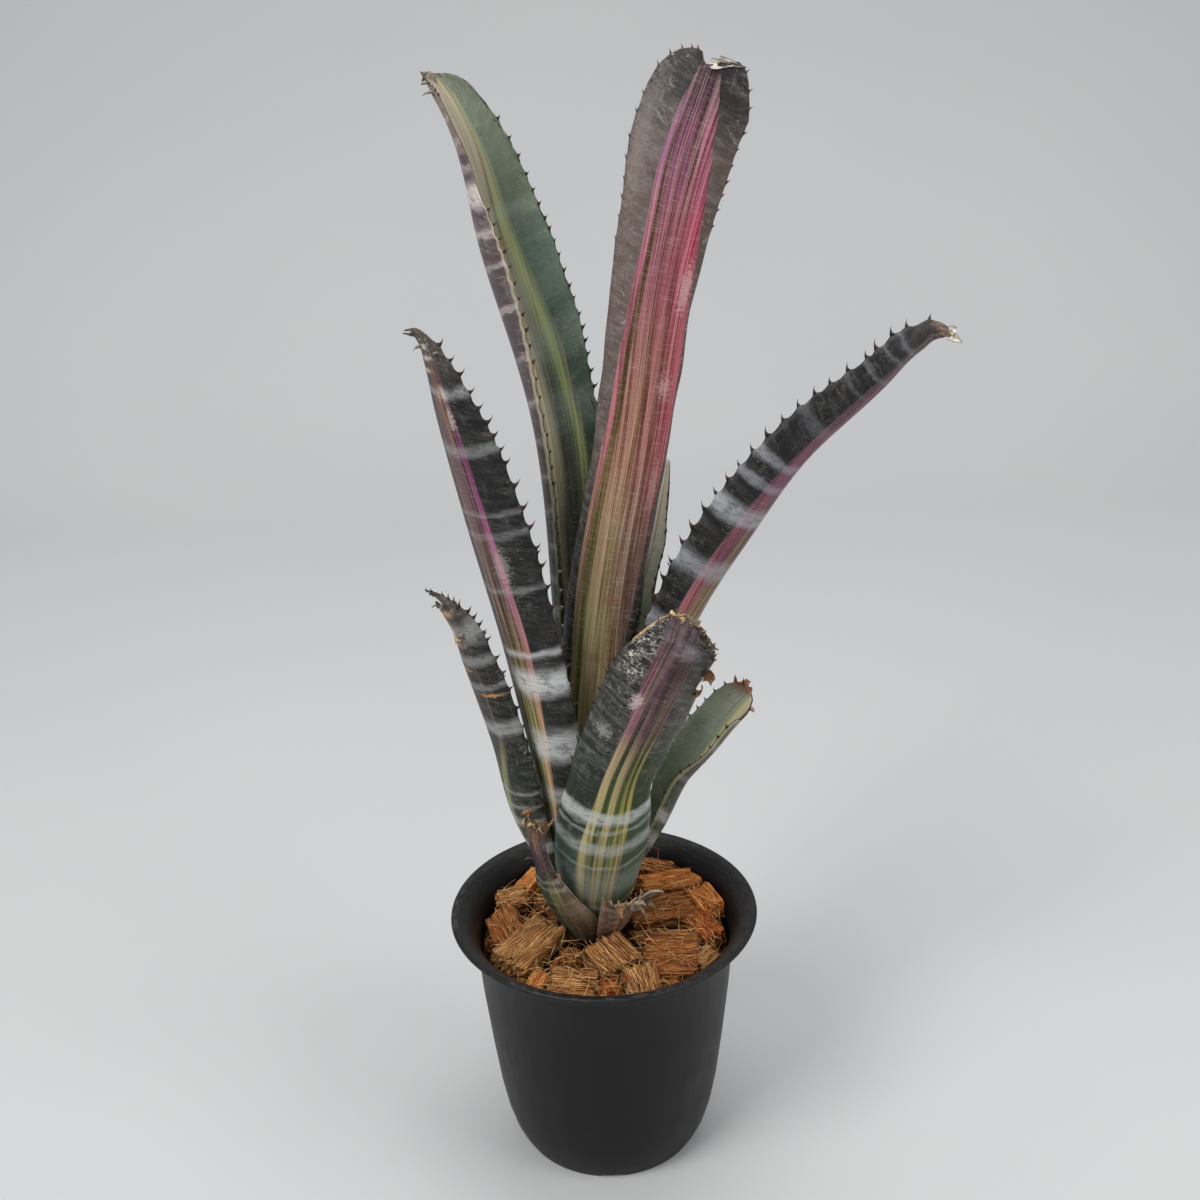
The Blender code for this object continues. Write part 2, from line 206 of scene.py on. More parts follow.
def cut_away(piece, tool_shape):
    tool = add_piece("cutting_tool", tool_shape, [])
    bite = piece.modifiers.new("cut", "BOOLEAN")
    bite.operation = "DIFFERENCE"
    bite.solver = "EXACT"
    bite.object = tool
    settle(piece)
    bpy.data.objects.remove(tool)


def pot_finish():
    finish = Finish("pot_black_plastic", 0.5, 0.25)
    at = finish.place()
    mottle = finish.cloud(at, 4, 0.6, 14)
    ripple = finish.cloud(finish.stretched(at, 7, 7, 90), 2, 0.5)
    grain = finish.cloud(at, 3, 0.7, 0.35)
    height = finish.add("SeparateXYZ", at, output=2)
    colour = finish.mix(mottle, "0c0c0d", "141313")
    # Pale rub marks and a painted highlight run round the top of the lip, and a little dust lies all
    # over.
    rub_and_highlight_lines = finish.cloud(finish.stretched(at, 5, 5, 0.25), 4, 0.7)
    rim_rub_and_highlight_band = finish.step(height, RIM_RUB_AND_HIGHLIGHT_FROM, RIM_RUB_AND_HIGHLIGHT_TO)
    rub_marks_and_highlight = finish.times(finish.step(rub_and_highlight_lines, 0.50, 0.68), rim_rub_and_highlight_band)
    colour = finish.mix(finish.times(rub_marks_and_highlight, 0.5), colour, "56504b")
    dust = finish.step(finish.cloud(at, 5, 0.75, 5), 0.60, 0.75, 0, 0.12)
    colour = finish.mix(dust, colour, "5a544e")
    finish.paint(colour)
    sheen = finish.maths("MULTIPLY_ADD", rub_marks_and_highlight, 0.2, 0.36)
    finish.roughen(finish.maths("MULTIPLY_ADD", mottle, 0.2, sheen))
    waves = finish.relief(ripple, 0.5, 0.5)
    finish.relief(grain, 0.05, 0.6, after=waves)
    return finish


pot_wall = add_piece("pot_wall", lathe(FOOT_TO_LIP + UNDER_FLOOR, POT_SIDES), [pot_finish()])
for number in range(DRAIN_HOLES):
    turn = Matrix.Rotation(math.tau * (number + 0.5) / DRAIN_HOLES, 4, "Z")
    hole = bmesh.new()
    bmesh.ops.create_cone(
        hole, cap_ends=True, segments=24, depth=20 * MM,
        radius1=DRAIN_HOLE_RADIUS * MM, radius2=DRAIN_HOLE_RADIUS * MM,
        matrix=turn @ Matrix.Translation((DRAIN_CIRCLE_RADIUS * MM, 0, 3 * MM)),
    )
    cut_away(pot_wall, hole)
for number in range(FOOT_NOTCHES):
    turn = Matrix.Rotation(math.tau * number / FOOT_NOTCHES - math.pi / 2, 4, "Z")
    notch = bmesh.new()
    bmesh.ops.create_cube(
        notch, size=1,
        matrix=turn
        @ Matrix.Translation((NOTCH_CIRCLE_RADIUS * MM, 0, 0))
        @ Matrix.Diagonal([side * MM for side in NOTCH_SIZE] + [1]),
    )
    cut_away(pot_wall, notch)
pot_wall.data.shade_smooth()
pot_wall.data.set_sharp_from_angle(angle=math.radians(40))
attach(pot_wall, "root")
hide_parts("pot")

# ------------ the rooted stem
# The short woody stem that bears the leaves, with its root ball in the husk. It shows only as a
# brown-green neck between the leaf feet, ringed where older leaves have dropped.


def dress(node, finish):
    """Gives a solid whose shape is right its finish."""
    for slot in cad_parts[node].material_slots:
        slot.material = finish.material


stem_bark = Finish("stem_bark", 0.8, 0.3)
at = stem_bark.place()
rings = stem_bark.cloud(stem_bark.stretched(at, 16, 16, 1.8), 3, 0.6)
bark = stem_bark.ramp(rings, ".3 2e2418, .48 5a4a2c, .62 6d6a3c, .75 8a7a52")
roots = stem_bark.cloud(stem_bark.stretched(at, 1.2, 1.2, 14), 3, 0.7)
bark = stem_bark.mix(stem_bark.step(roots, 0.5, 0.7, 0, 0.6), bark, "241a12")
stem_bark.paint(bark)
stem_bark.relief(stem_bark.maths("ADD", rings, roots), 1.2, 0.8)
dress("rosette_stem", stem_bark)

# ------------ the husk in the pot
# Chopped coconut husk fills the pot: a packed bed below, then crumbs of cork and loose curled
# fibres between the big chips. Nothing holds it but its own weight.

husk_bed_finish = Finish("husk_fill", 0.95, 0.2)
at = husk_bed_finish.place()
crumb_pattern = husk_bed_finish.cloud(at, 6, 0.7, 2.5, 0.6)
husk_bed_finish.paint(
    husk_bed_finish.ramp(crumb_pattern, ".3 120c08, .45 35200f, .58 5c381c, .72 8a5c30")
)
husk_bed_finish.relief(crumb_pattern, 3.0, 1.0)
dress("husk_bed", husk_bed_finish)

MOUTH_RADIUS = 60.5  # mm, of the pot's inside where the husk ends
HUSK_LEVEL = 110.0  # mm, at the middle of the pot
BED_SLOPE = 0.10  # rise of the husk towards the back
HOLLOW_DEPTH, HOLLOW_SPREAD = 2.0, 500  # mm and mm2, where the husk sinks round the stem
WALL_FIBRES_FROM = 50  # mm from the middle, where fibres lean inwards
CRUMBS = 900
LOOSE_FIBRES = 640
FIBRE_STEPS = 5
FIBRE_TAPER = 0.8  # of the width, at each step
TURN_BACK_RADIUS = 56  # mm, where fibres that head outwards turn back from the pot's wall


def husk_height(x, y):
    """Height of the husk between the chips, in millimetres."""
    hollow = HOLLOW_DEPTH * math.exp(-(x * x + y * y) / HOLLOW_SPREAD)
    return HUSK_LEVEL + BED_SLOPE * y - hollow


def husk_finish(name, dark, middle, light, size):
    finish = Finish(name, 0.9, 0.25)
    at = finish.place()
    lump = finish.cloud(at, 5, 0.65, size)
    finish.paint(finish.ramp(lump, [(0.30, dark), (0.5, middle), (0.70, light)]))
    finish.relief(finish.cloud(at, 4, 0.7, size / 4), 0.6, 0.9)
    return finish


def scatter_crumbs():
    pick = random.Random(4)
    shape = bmesh.new()
    for number in range(CRUMBS):
        turn = pick.uniform(0, math.tau)
        reach = MOUTH_RADIUS * math.sqrt(pick.uniform(0.05, 1))
        size = pick.choice((1.0, 1.4, 2.0, 2.8, 3.6)) * pick.uniform(0.7, 1.2)
        reach = min(reach, MOUTH_RADIUS - size)
        x, y = reach * math.cos(turn), reach * math.sin(turn)
        z = husk_height(x, y) + pick.uniform(-1.5, 2.0)
        made = bmesh.ops.create_icosphere(shape, subdivisions=1, radius=size * MM)["verts"]
        for vert in made:
            vert.co *= 1 + pick.uniform(-0.35, 0.3)
        stretch = Matrix.Diagonal(
            (pick.uniform(0.6, 1.6), pick.uniform(0.5, 1), pick.uniform(0.4, 0.8), 1)
        )
        spin = Euler([pick.uniform(0, math.tau) for axis in range(3)]).to_matrix().to_4x4()
        bmesh.ops.transform(
            shape, matrix=Matrix.Translation(Vector((x, y, z)) * MM) @ spin @ stretch, verts=made
        )
        tint_faces(made, pick.choice((0, 0, 1, 1, 2)))
    return shape


def tint_faces(verts, slot, smooth=False):
    """Gives the faces round these vertices a finish."""
    for face in {face for vert in verts for face in vert.link_faces}:
        face.material_index = slot
        face.smooth = smooth


def next_ring(shape, edges):
    """Extrudes a ring of edges, and gives the new vertices and the new ring."""
    made = bmesh.ops.extrude_edge_only(shape, edges=edges)["geom"]
    verts = [item for item in made if isinstance(item, bmesh.types.BMVert)]
    edges = [item for item in made if isinstance(item, bmesh.types.BMEdge)]
    return verts, [edge for edge in edges if all(vert in verts for vert in edge.verts)]


def fibre(shape, start, heading, length, bend, radius, tint=0):
    """One loose fibre: a thin three-sided strand that curls away from its start."""
    verts = bmesh.ops.create_circle(shape, segments=3, radius=radius, cap_ends=False)["verts"]
    path_turn = heading.to_track_quat("Z", "Y").to_matrix().to_4x4()
    bmesh.ops.transform(shape, matrix=Matrix.Translation(start) @ path_turn, verts=verts)
    centre = start.copy()
    strand = list(verts)
    edges = list({edge for vert in verts for edge in vert.link_edges})
    bmesh.ops.contextual_create(shape, geom=edges)
    for step in range(FIBRE_STEPS):
        verts, edges = next_ring(shape, edges)
        heading = (heading + bend / FIBRE_STEPS).normalized()
        outwards = Vector((centre.x, centre.y, 0))
        if outwards.length > TURN_BACK_RADIUS * MM and heading.dot(outwards) > 0:
            heading -= outwards * (1.6 * heading.dot(outwards) / outwards.length_squared)
            heading.normalize()
        move = heading * (length / FIBRE_STEPS)
        bmesh.ops.translate(shape, vec=move, verts=verts)
        centre = centre + move
        for vert in verts:
            vert.co = centre + (vert.co - centre) * FIBRE_TAPER
        strand += verts
    bmesh.ops.contextual_create(shape, geom=edges)
    tint_faces(strand, tint, smooth=True)


def scatter_fibres():
    pick = random.Random(7)
    shape = bmesh.new()
    for number in range(LOOSE_FIBRES):
        turn = pick.uniform(0, math.tau)
        reach = (MOUTH_RADIUS - 3) * math.sqrt(pick.uniform(0.15, 1))
        x, y = reach * math.cos(turn), reach * math.sin(turn)
        start = Vector((x, y, husk_height(x, y) + pick.uniform(2, 11))) * MM
        heading = Vector((pick.gauss(0, 1), pick.gauss(0, 1), pick.uniform(-0.1, 1.0)))
        bend = Vector((pick.gauss(0, 1), pick.gauss(0, 1), pick.uniform(-1.2, 0.2)))
        if math.hypot(x, y) > WALL_FIBRES_FROM:
            heading -= Vector((x, y, 0)).normalized() * 0.8
        fibre(
            shape, start, heading.normalized(), pick.uniform(6, 17) * MM, bend * 1.4,
            pick.uniform(0.14, 0.32) * MM, pick.choice((0, 0, 0, 1)),
        )
    bmesh.ops.recalc_face_normals(shape, faces=shape.faces)
    return shape


crumb_finishes = [
    husk_finish("husk_crumb_dark", "170c06", "34200f", "5c3a1e", 1.5),
    husk_finish("husk_crumb_red", "3a1a0a", "75401c", "a86a36", 1.5),
    husk_finish("husk_crumb_tan", "48290f", "885526", "c08a52", 1.5),
]
husk_crumbs = add_piece("husk_crumbs", scatter_crumbs(), crumb_finishes)
husk_fibres = add_piece(
    "husk_fibres",
    scatter_fibres(),
    [
        husk_finish("fibre_tan", "a8733c", "d6a566", "efcd96", 6),
        husk_finish("fibre_red", "8a4a20", "b87438", "d69a58", 6),
    ],
)
for piece in (husk_crumbs, husk_fibres):
    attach(piece, "root")

# ------------ the husk chips
# Chips sawn and torn from the thick husk of the coconut: coarse fibres one way, cork between
# them, ragged ends. They lie loose on the bed, the upper ones pressed into those below.

# Each chip: centre; length along the fibres, width and thickness, all in millimetres; yaw, pitch
# and roll in degrees; and which of the husk colours it has.
CHIPS = [
    ((3, -24.5, 115.5), (20, 22, 9), (-50, 14, 2), "striped"),
    ((-37, -13, 114.5), (36, 19, 10), (52, -4, 9), "tan"),
    ((-48, 4, 115), (25, 16, 8), (-70, 4, 34), "brown"),
    ((30, 11, 116.5), (33, 15, 10), (4, -6, 20), "brown"),
    ((32, 29, 119.5), (27, 13, 11), (5, -5, 10), "orange"),
    ((50.5, 13, 119), (17, 12, 13), (-62, 8, 8), "orange"),
    ((49, -1, 115), (21, 12, 9), (-58, 8, 15), "red"),
    ((32, -22, 112), (28, 26, 10), (-6, -2, 13), "brown"),
    ((-15, -38, 110), (24, 15, 9), (-10, 2, 25), "striped"),
    ((17, -38, 110), (17, 17, 9), (-72, 26, 4), "striped"),
    ((-46, 24, 117), (15, 12, 9), (16, -8, 12), "tan"),
    ((-37, 38, 117), (20, 11, 10), (58, -8, -8), "orange"),
    ((47.5, -24, 111.5), (14, 9, 9), (50, 0, 20), "tan"),
    ((28, -3, 111), (27, 5, 7), (-2, -3, 12), "tan"),
    ((1, -39, 108.5), (10, 11, 8), (10, 6, 8), "red"),
    ((-33.5, -38, 109.5), (16, 9, 8), (62, -8, 0), "orange"),
    ((-17, -20, 111), (13, 9, 8), (100, 6, 0), "brown"),
    ((-25, 27, 115), (16, 9, 9), (80, 0, -12), "brown"),
    ((-22, 49, 118.5), (18, 11, 9), (30, 6, 8), "tan"),
    ((0, 50, 118), (24, 12, 9), (4, 4, 8), "orange"),
    ((8, 34, 115), (14, 12, 9), (-60, 6, 8), "red"),
    ((26, 46, 118), (20, 12, 10), (-24, 0, 6), "brown"),
    ((43, 35, 117), (12, 9, 10), (-44, 0, -12), "orange"),
]
CHIP_SKEW = 0.10  # share of its size that a corner may stray
CHIP_CUTS = 21
CHIP_STRANDS = 34
WORN_FROM = 0.84  # share of the half size where the edges begin to be rounded off
TORN_FROM = 0.93  # share of the half length where the torn ends begin
HUSK_COLOURS = {
    "striped": ("241106", "74411d", "e8b878"),
    "tan": ("3a200e", "875629", "d8ae7a"),
    "brown": ("241106", "6e3b19", "cc8e50"),
    "orange": ("421c08", "a35a24", "ecac62"),
    "red": ("2c1206", "7c3b16", "cf8244"),
}


def chip_finish(name, dark, middle, light):
    """Coarse parallel fibres on the sides of a chip, read from the chip's own grain direction."""
    finish = Finish(name, 0.88, 0.2)
    grain = finish.add("Attribute", output=1, attribute_name="grain")
    strands = finish.cloud(finish.stretched(grain, 16, 0.55, 0.55), 4, 0.65, 1, 0.25)
    hairs = finish.cloud(finish.stretched(grain, 9, 0.24, 0.24), 2, 0.6)
    clumps = finish.cloud(finish.stretched(grain, 9, 2.6, 2.6), 4, 0.6, 1, 0.5)
    patches = finish.cloud(grain, 4, 0.6, 7)
    colour = finish.ramp(strands, [(0.36, dark), (0.47, middle), (0.55, middle), (0.66, light)])
    colour = finish.mix(finish.step(clumps, 0.50, 0.68, 0, 0.65), colour, dark)
    colour = finish.mix(finish.step(patches, 0.52, 0.72, 0, 0.5), colour, light, "OVERLAY")
    colour = finish.mix(finish.step(hairs, 0.55, 0.66, 0, 0.85), colour, light)
    colour = finish.mix(finish.step(hairs, 0.42, 0.32, 0, 0.5), colour, "1e120a")
    finish.paint(colour)
    clods = finish.relief(clumps, 1.0, 0.7)
    body = finish.relief(strands, 0.7, 0.9, after=clods)
    finish.relief(hairs, 0.3, 0.8, after=body)
    return finish


def husk_chip(number, centre, size, angles):
    """A block with strayed corners, its sides grooved along the grain and its ends torn."""
    stray = random.Random(number)
    shape = bmesh.new()
    bmesh.ops.create_cube(shape, size=1)
    for vert in shape.verts:
        for axis in range(3):
            vert.co[axis] *= (1 + stray.uniform(-CHIP_SKEW, CHIP_SKEW)) * size[axis]
    bmesh.ops.subdivide_edges(shape, edges=shape.edges[:], cuts=CHIP_CUTS, use_grid_fill=True)
    grain = shape.verts.layers.float_vector.new("grain")
    offset = Vector((number * 7.3, number * 3.1, 0))
    half = Vector(size) / 2
    shape.normal_update()
    moves = []
    for vert in shape.verts:
        point = vert.co
        spot = point + offset
        vert[grain] = spot
        along = noise.noise(Vector((spot.x * 0.04, spot.y * 0.42, spot.z * 0.42)))
        fine = noise.noise(Vector((spot.x * 0.07, spot.y * 1.2, spot.z * 1.2)))
        lump = noise.noise(spot * 0.16)
        share = [abs(point[axis]) / half[axis] for axis in range(3)]
        worn = max(0.0, sorted(share)[1] - WORN_FROM) ** 1.4 * 5.0
        move = vert.normal * (0.75 * along + 0.4 * fine + 1.0 * lump)
        move -= Vector((point.x / half.x, point.y / half.y, point.z / half.z)) * worn
        if share[0] > TORN_FROM:
            torn = noise.noise(Vector((spot.y * 0.5, spot.z * 0.5, number))) * 2.6
            torn += noise.noise(Vector((spot.y * 1.7, spot.z * 1.7, number))) * 1.6
            move += Vector((math.copysign(1, point.x) * (torn - 0.6), 0, 0))
        moves.append(move)
    for vert, move in zip(shape.verts, moves):
        vert.co += move
    yaw, pitch, roll = (math.radians(angle) for angle in angles)
    turn = Euler((roll, pitch, yaw), "XYZ").to_matrix().to_4x4()
    place = Matrix.Translation(Vector(centre) * MM) @ turn @ Matrix.Scale(MM, 4)
    bmesh.ops.transform(shape, matrix=place, verts=shape.verts)
    tint_faces(shape.verts, 0, smooth=True)
    # Strands have come away from the torn ends and the upper face.
    for strand in range(CHIP_STRANDS):
        end = stray.choice((-1, 1))
        across = stray.uniform(-0.9, 0.9)
        if strand % 3:
            height = stray.uniform(-0.2, 0.9)
            local = Vector((end * half.x * 0.85, across * half.y, height * half.z))
            heading = Vector((end, stray.gauss(0, 0.45), stray.uniform(-0.1, 0.7)))
            size = stray.uniform(2, 7)
        else:
            local = Vector((stray.uniform(-0.7, 0.7) * half.x, across * half.y, half.z * 0.98))
            heading = Vector((end, stray.gauss(0, 0.5), stray.uniform(0.1, 0.6)))
            size = stray.uniform(5, 14)
        bend = Vector((stray.gauss(0, 0.8), stray.gauss(0, 0.8), stray.uniform(-1.3, 0.1)))
        heading = (turn.to_3x3() @ heading).normalized()
        fibre(shape, place @ local, heading, size * MM, bend, stray.uniform(0.12, 0.27) * MM, 1)
    return shape


chip_finishes = {
    kind: chip_finish("husk_" + kind, *colours) for kind, colours in HUSK_COLOURS.items()
}
strand_finish = husk_finish("husk_strand", "a06a34", "d6a264", "f0cc94", 5)
for number, (centre, size, angles, kind) in enumerate(CHIPS):
    name = f"husk_chip_{number + 1:02d}"
    chip = add_piece(
        "torn_" + name, husk_chip(number, centre, size, angles), [chip_finishes[kind], strand_finish]
    )
    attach(chip, "root")
    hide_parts(name)

# ------------ the tall leaf in the centre
# A stiff strap leaf that grows from the stem, as all of them do: leathery, channelled, with a
# coloured band down its middle, dark edges set with hooked spines and a grey felt of scurf.
# This one stands highest; its tip was cut off and has dried, with two pale scraps of tissue left.

ROW_STEP = 1.7  # mm between rows of faces along a leaf
FACES_ACROSS = 30
MARGIN_FROM = 0.86  # share of the half width where the toothed margin begins
SPINE_RINGS = [(0, 1), (0.25, 0.66), (0.5, 0.40), (0.75, 0.2), (1, 0.03)]  # height, radius
SPINE_ROOT = 0.25  # share of a spine that is sunk in the blade
SCRAP_THICKNESS = 0.25  # mm
CUSP_BELOW, CUSP_ABOVE = 5.0, 2.0  # mm that the margin rises over, on each side of a spine
SMALL_SPINE = 1.5  # mm; the margin doesn't rise to these
TWIN_SHARE = 0.18  # of the spines have a small one just below them
BANDS_PER_RAMP = 7  # a colour ramp holds 32 stops, and a band takes four


def smooth_sections(sections, step):
    """Closely spaced sections on a smooth curve through the given ones, with the leaf's length."""
    rows = [Vector(section) for section in sections]
    spans = [(b.xyz - a.xyz).length for a, b in zip(rows, rows[1:])]
    at = [sum(spans[:i]) for i in range(len(rows))]
    steps = round(sum(spans) / step)
    slopes = [(b - a) / span for a, b, span in zip(rows, rows[1:], spans)]
    tangents = [slopes[0]]
    for before, after, left, right in zip(slopes, slopes[1:], spans, spans[1:]):
        tangents.append((before * right + after * left) / (left + right))
    tangents.append(slopes[-1])
    found = []
    for number in range(steps + 1):
        along = sum(spans) * number / steps
        i = max(k for k in range(len(spans)) if at[k] <= along + 1e-9)
        t = (along - at[i]) / spans[i]
        pull_a, pull_b = tangents[i] * spans[i], tangents[i + 1] * spans[i]
        found.append(
            rows[i] * (2 * t**3 - 3 * t**2 + 1)
            + rows[i + 1] * (3 * t**2 - 2 * t**3)
            + pull_a * (t**3 - 2 * t**2 + t)
            + pull_b * (t**3 - t**2)
        )
    return found, sum(spans)


def between(points, at):
    """The value at a place on a line of (place, value) points."""
    if at <= points[0][0]:
        return points[0][1]
    for (low, a), (high, b) in zip(points, points[1:]):
        if at <= high:
            return a + (b - a) * (at - low) / (high - low)
    return points[-1][1]


def horn(shape, sides, levels):
    """A closed pointed body of rings from (height, radius), base first."""
    ring = bmesh.ops.create_circle(shape, segments=sides, radius=1)["verts"]
    edges = list({edge for vert in ring for edge in vert.link_edges})
    bmesh.ops.contextual_create(shape, geom=edges)
    found = list(ring)
    for (_, before), (height, radius) in zip(levels, levels[1:]):
        ring, edges = next_ring(shape, edges)
        for vert in ring:
            vert.co = Vector((vert.co.x * radius / before, vert.co.y * radius / before, height))
        found += ring
    bmesh.ops.contextual_create(shape, geom=edges)
    return found


class Leaf:
    """The curved blade of one leaf: places on it, its spines and its mesh.

    sections: x, y and z of the midline, half width, curl to each side and the way the back faces.
    ends: (across, along) points of the torn or cut end, across from -1 to 1, along from 0 to 1.
    spines: (margin, along from, along to, spacing, length, lean, finish slot) of each run.
    crown: (across, length, finish slot) of teeth on the end.
    scraps: (across, along, length, width, lean, curl, finish slot) of torn dead tissue, where
    lean is how far each heads to the tip, outwards and backwards.
    frills: (across from, to, count, length, finish slot) of small scraps along the end.
    bites: (margin, along, half height, depth) where the margin stands back.
    crumple: (along where the blade begins to crumple, depth).
    scallop, ripple: depth of the waves between the spines and of the blade's own waves.
    Lengths are in millimetres and angles in degrees.
    """

    def __init__(
        self, name, sections, seed, ends=((-1, 1), (1, 1)), spines=(), scallop=0.9, ripple=0.35,
        bites=(), crown=(), scraps=(), frills=(), crumple=(1, 0),
    ):
        self.name = name
        self.rows, self.length = smooth_sections(sections, 1.0)
        self.width = 2 * max(row[3] for row in self.rows)
        self.ends = ends
        self.seed = seed
        self.scallop = scallop
        # A deeply scalloped margin also draws in between its spines.
        self.dip = 0.45 if scallop > 1 else 0
        self.ripple = ripple
        self.bites = bites
        self.crumple = crumple
        pick = random.Random(seed)
        self.spines = []
        for margin, low, high, spacing, size, lean, slot in spines:
            at = low * self.length
            while at < high * self.length:
                self.spines.append(
                    (margin, at / self.length, size * pick.uniform(0.75, 1.2), lean, slot)
                )
                if pick.random() < TWIN_SHARE:
                    nearby = (at - spacing * 0.22) / self.length
                    self.spines.append((margin, nearby, size * 0.55, lean, slot))
                at += spacing * pick.uniform(0.85, 1.15)
        for across, size, slot in crown:
            self.spines.append((across, between(ends, across), size, 0.5, slot))
        self.scraps = list(scraps)
        for low, high, count, size, slot in frills:
            for number in range(count):
                across = low + (high - low) * (number + pick.random()) / count
                lean = (pick.uniform(0.4, 1), pick.gauss(0, 0.6), pick.gauss(0, 0.8))
                length = size * pick.uniform(0.6, 1.4)
                width = size * pick.uniform(0.4, 0.9)
                place = (across, between(ends, across) - 0.006)
                self.scraps.append((*place, length, width, lean, pick.uniform(-230, 230), slot))

    def cusp(self, margin, along):
        """How much the margin rises towards the nearest spine, from 0 to 1."""
        rise = 0.0
        for side, at, size, lean, slot in self.spines:
            if side == margin and size > SMALL_SPINE:
                away = (along - at) * self.length
                reach = CUSP_BELOW if away < 0 else CUSP_ABOVE
                rise = max(rise, 1 - min(1, abs(away) / reach))
        return rise ** 1.6

    def at(self, across, along):
        """Point, outward direction in the blade, direction to the tip, and the back's direction."""
        place = min(max(along, 0), 1) * (len(self.rows) - 1)
        i = min(int(place), len(self.rows) - 2)
        row = self.rows[i].lerp(self.rows[i + 1], place - i)
        low, high = max(i - 2, 0), min(i + 3, len(self.rows) - 1)
        tangent = Vector((self.rows[high] - self.rows[low])[:3]).normalized()
        facing = math.radians(row[5])
        back = Vector((math.cos(facing), math.sin(facing), 0))
        back = (back - tangent * back.dot(tangent)).normalized()
        side = tangent.cross(back)
        curl = math.radians(row[4])
        radius = row[3] / curl
        angle = across * curl
        point = (
            Vector(row[:3]) + side * radius * math.sin(angle) - back * radius * (1 - math.cos(angle))
        )
        normal = back * math.cos(angle) + side * math.sin(angle)
        out = (side * math.cos(angle) - back * math.sin(angle)) * math.copysign(1, across)
        edge = max(0.0, abs(across) - MARGIN_FROM) / (1 - MARGIN_FROM)
        if edge > 0:
            rise = self.cusp(math.copysign(1, across), along) - self.dip
            point += out * self.scallop * rise * edge
            swell = noise.noise(Vector((along * self.length * 0.045, self.seed + across, 0)))
            point += normal * self.ripple * swell * edge * 4
        # Where the margin has torn or shrunk, it stands back from the leaf's outline.
        for margin, middle, half, depth in self.bites:
            near = 1 - min(1, abs(along - middle) * self.length / half)
            if near > 0 and across * margin > 0.3:
                reach = ((abs(across) - 0.3) / 0.7) ** 2
                point -= out * depth * near * near * (3 - 2 * near) * reach
        start, depth = self.crumple
        if along > start:
            fold = noise.noise(Vector((across * 2.2, along * self.length * 0.42, self.seed)))
            point += normal * fold * depth * min(1, (along - start) * 18)
        grain = noise.noise(Vector((across * 5, along * self.length * 0.02, self.seed)))
        point += normal * grain * self.ripple * 0.6
        return point * MM, out, tangent, normal

    def mesh(self):
        steps = round(self.length / ROW_STEP)
        shape = bmesh.new()
        chart = shape.loops.layers.uv.new("blade")
        bmesh.ops.create_grid(shape, x_segments=FACES_ACROSS, y_segments=steps, size=0.5)
        where = {}
        for vert in shape.verts:
            across = 2 * vert.co.x
            along = (vert.co.y + 0.5) * between(self.ends, across)
            where[vert] = (across / 2 + 0.5, along)
            vert.co = self.at(across, along)[0]
        for face in shape.faces:
            face.smooth = True
            for loop in face.loops:
                loop[chart].uv = where[loop.vert]
        return shape, [where[vert] for vert in shape.verts]

    def add_spines(self, piece):
        """Sets each hooked spine on its margin, its root sunk in the blade."""
        shape = bmesh.new()
        shape.from_mesh(piece.data)
        for margin, along, size, lean, slot in self.spines:
            across = margin * 0.985
            top = between(self.ends, across)
            at_margin = abs(margin) == 1
            if at_margin and along > top - 0.002:
                continue
            point, out, tangent, normal = self.at(across, along)
            lift = self.scallop * (self.cusp(margin, along) - self.dip) * MM * 0.8
            if not at_margin:
                out, tangent = (tangent + out * abs(margin) * 0.6).normalized(), out
                lift = 0
            row = self.rows[min(int(along * (len(self.rows) - 1)), len(self.rows) - 1)]
            size *= min(1, 0.35 + row[3] / 14)
            verts = horn(shape, 6, SPINE_RINGS)
            for vert in verts:
                height = vert.co.z
                wide, thick = vert.co.x * 0.42 * size, vert.co.y * 0.15 * size
                reach = (height - SPINE_ROOT) * size
                hook = lean * size * (height * height * 0.7 - 0.12)
                vert.co = (
                    point + out * lift
                    + (out * reach + tangent * (wide + hook) + normal * thick) * MM
                )
            tint_faces(verts, slot, smooth=True)
        for scrap in self.scraps:
            self.add_scrap(shape, *scrap)
        shape.to_mesh(piece.data)
        shape.free()

    def add_scrap(self, shape, across, along, length, width, lean, curl, slot):
        """A thin ribbon of dead tissue that starts in the blade, tapers and curls over."""
        point, out, tangent, normal = self.at(across, along)
        heading = (tangent * lean[0] + out * lean[1] + normal * lean[2]).normalized()
        wide = heading.cross(normal if abs(heading.dot(normal)) < 0.8 else tangent).normalized()
        made = bmesh.ops.create_grid(shape, x_segments=4, y_segments=8, size=0.5)["verts"]
        for vert in made:
            side, travel = vert.co.x, vert.co.y + 0.5
            turn = math.radians(curl) * travel
            bulge = math.radians(curl) if abs(curl) > 1 else 0.02
            rise = wide.cross(heading)
            reach = heading * (math.sin(turn) / bulge) + rise * ((1 - math.cos(turn)) / bulge)
            stray = noise.noise(Vector((travel * 2.2, side * 2, across * 9)))
            cupped = rise * ((1.2 * side * side + 0.35 * stray) * width)
            narrow = (1.02 - travel**1.6) * (1 + 0.3 * stray)
            vert.co = point + (reach * length + wide * side * width * narrow + cupped) * MM
        faces = list({face for vert in made for face in vert.link_faces})
        shell = bmesh.ops.solidify(shape, geom=faces, thickness=SCRAP_THICKNESS * MM)["geom"]
        for item in set(faces) | {item for item in shell if isinstance(item, bmesh.types.BMFace)}:
            if item.is_valid:
                item.material_index = slot
                item.smooth = True

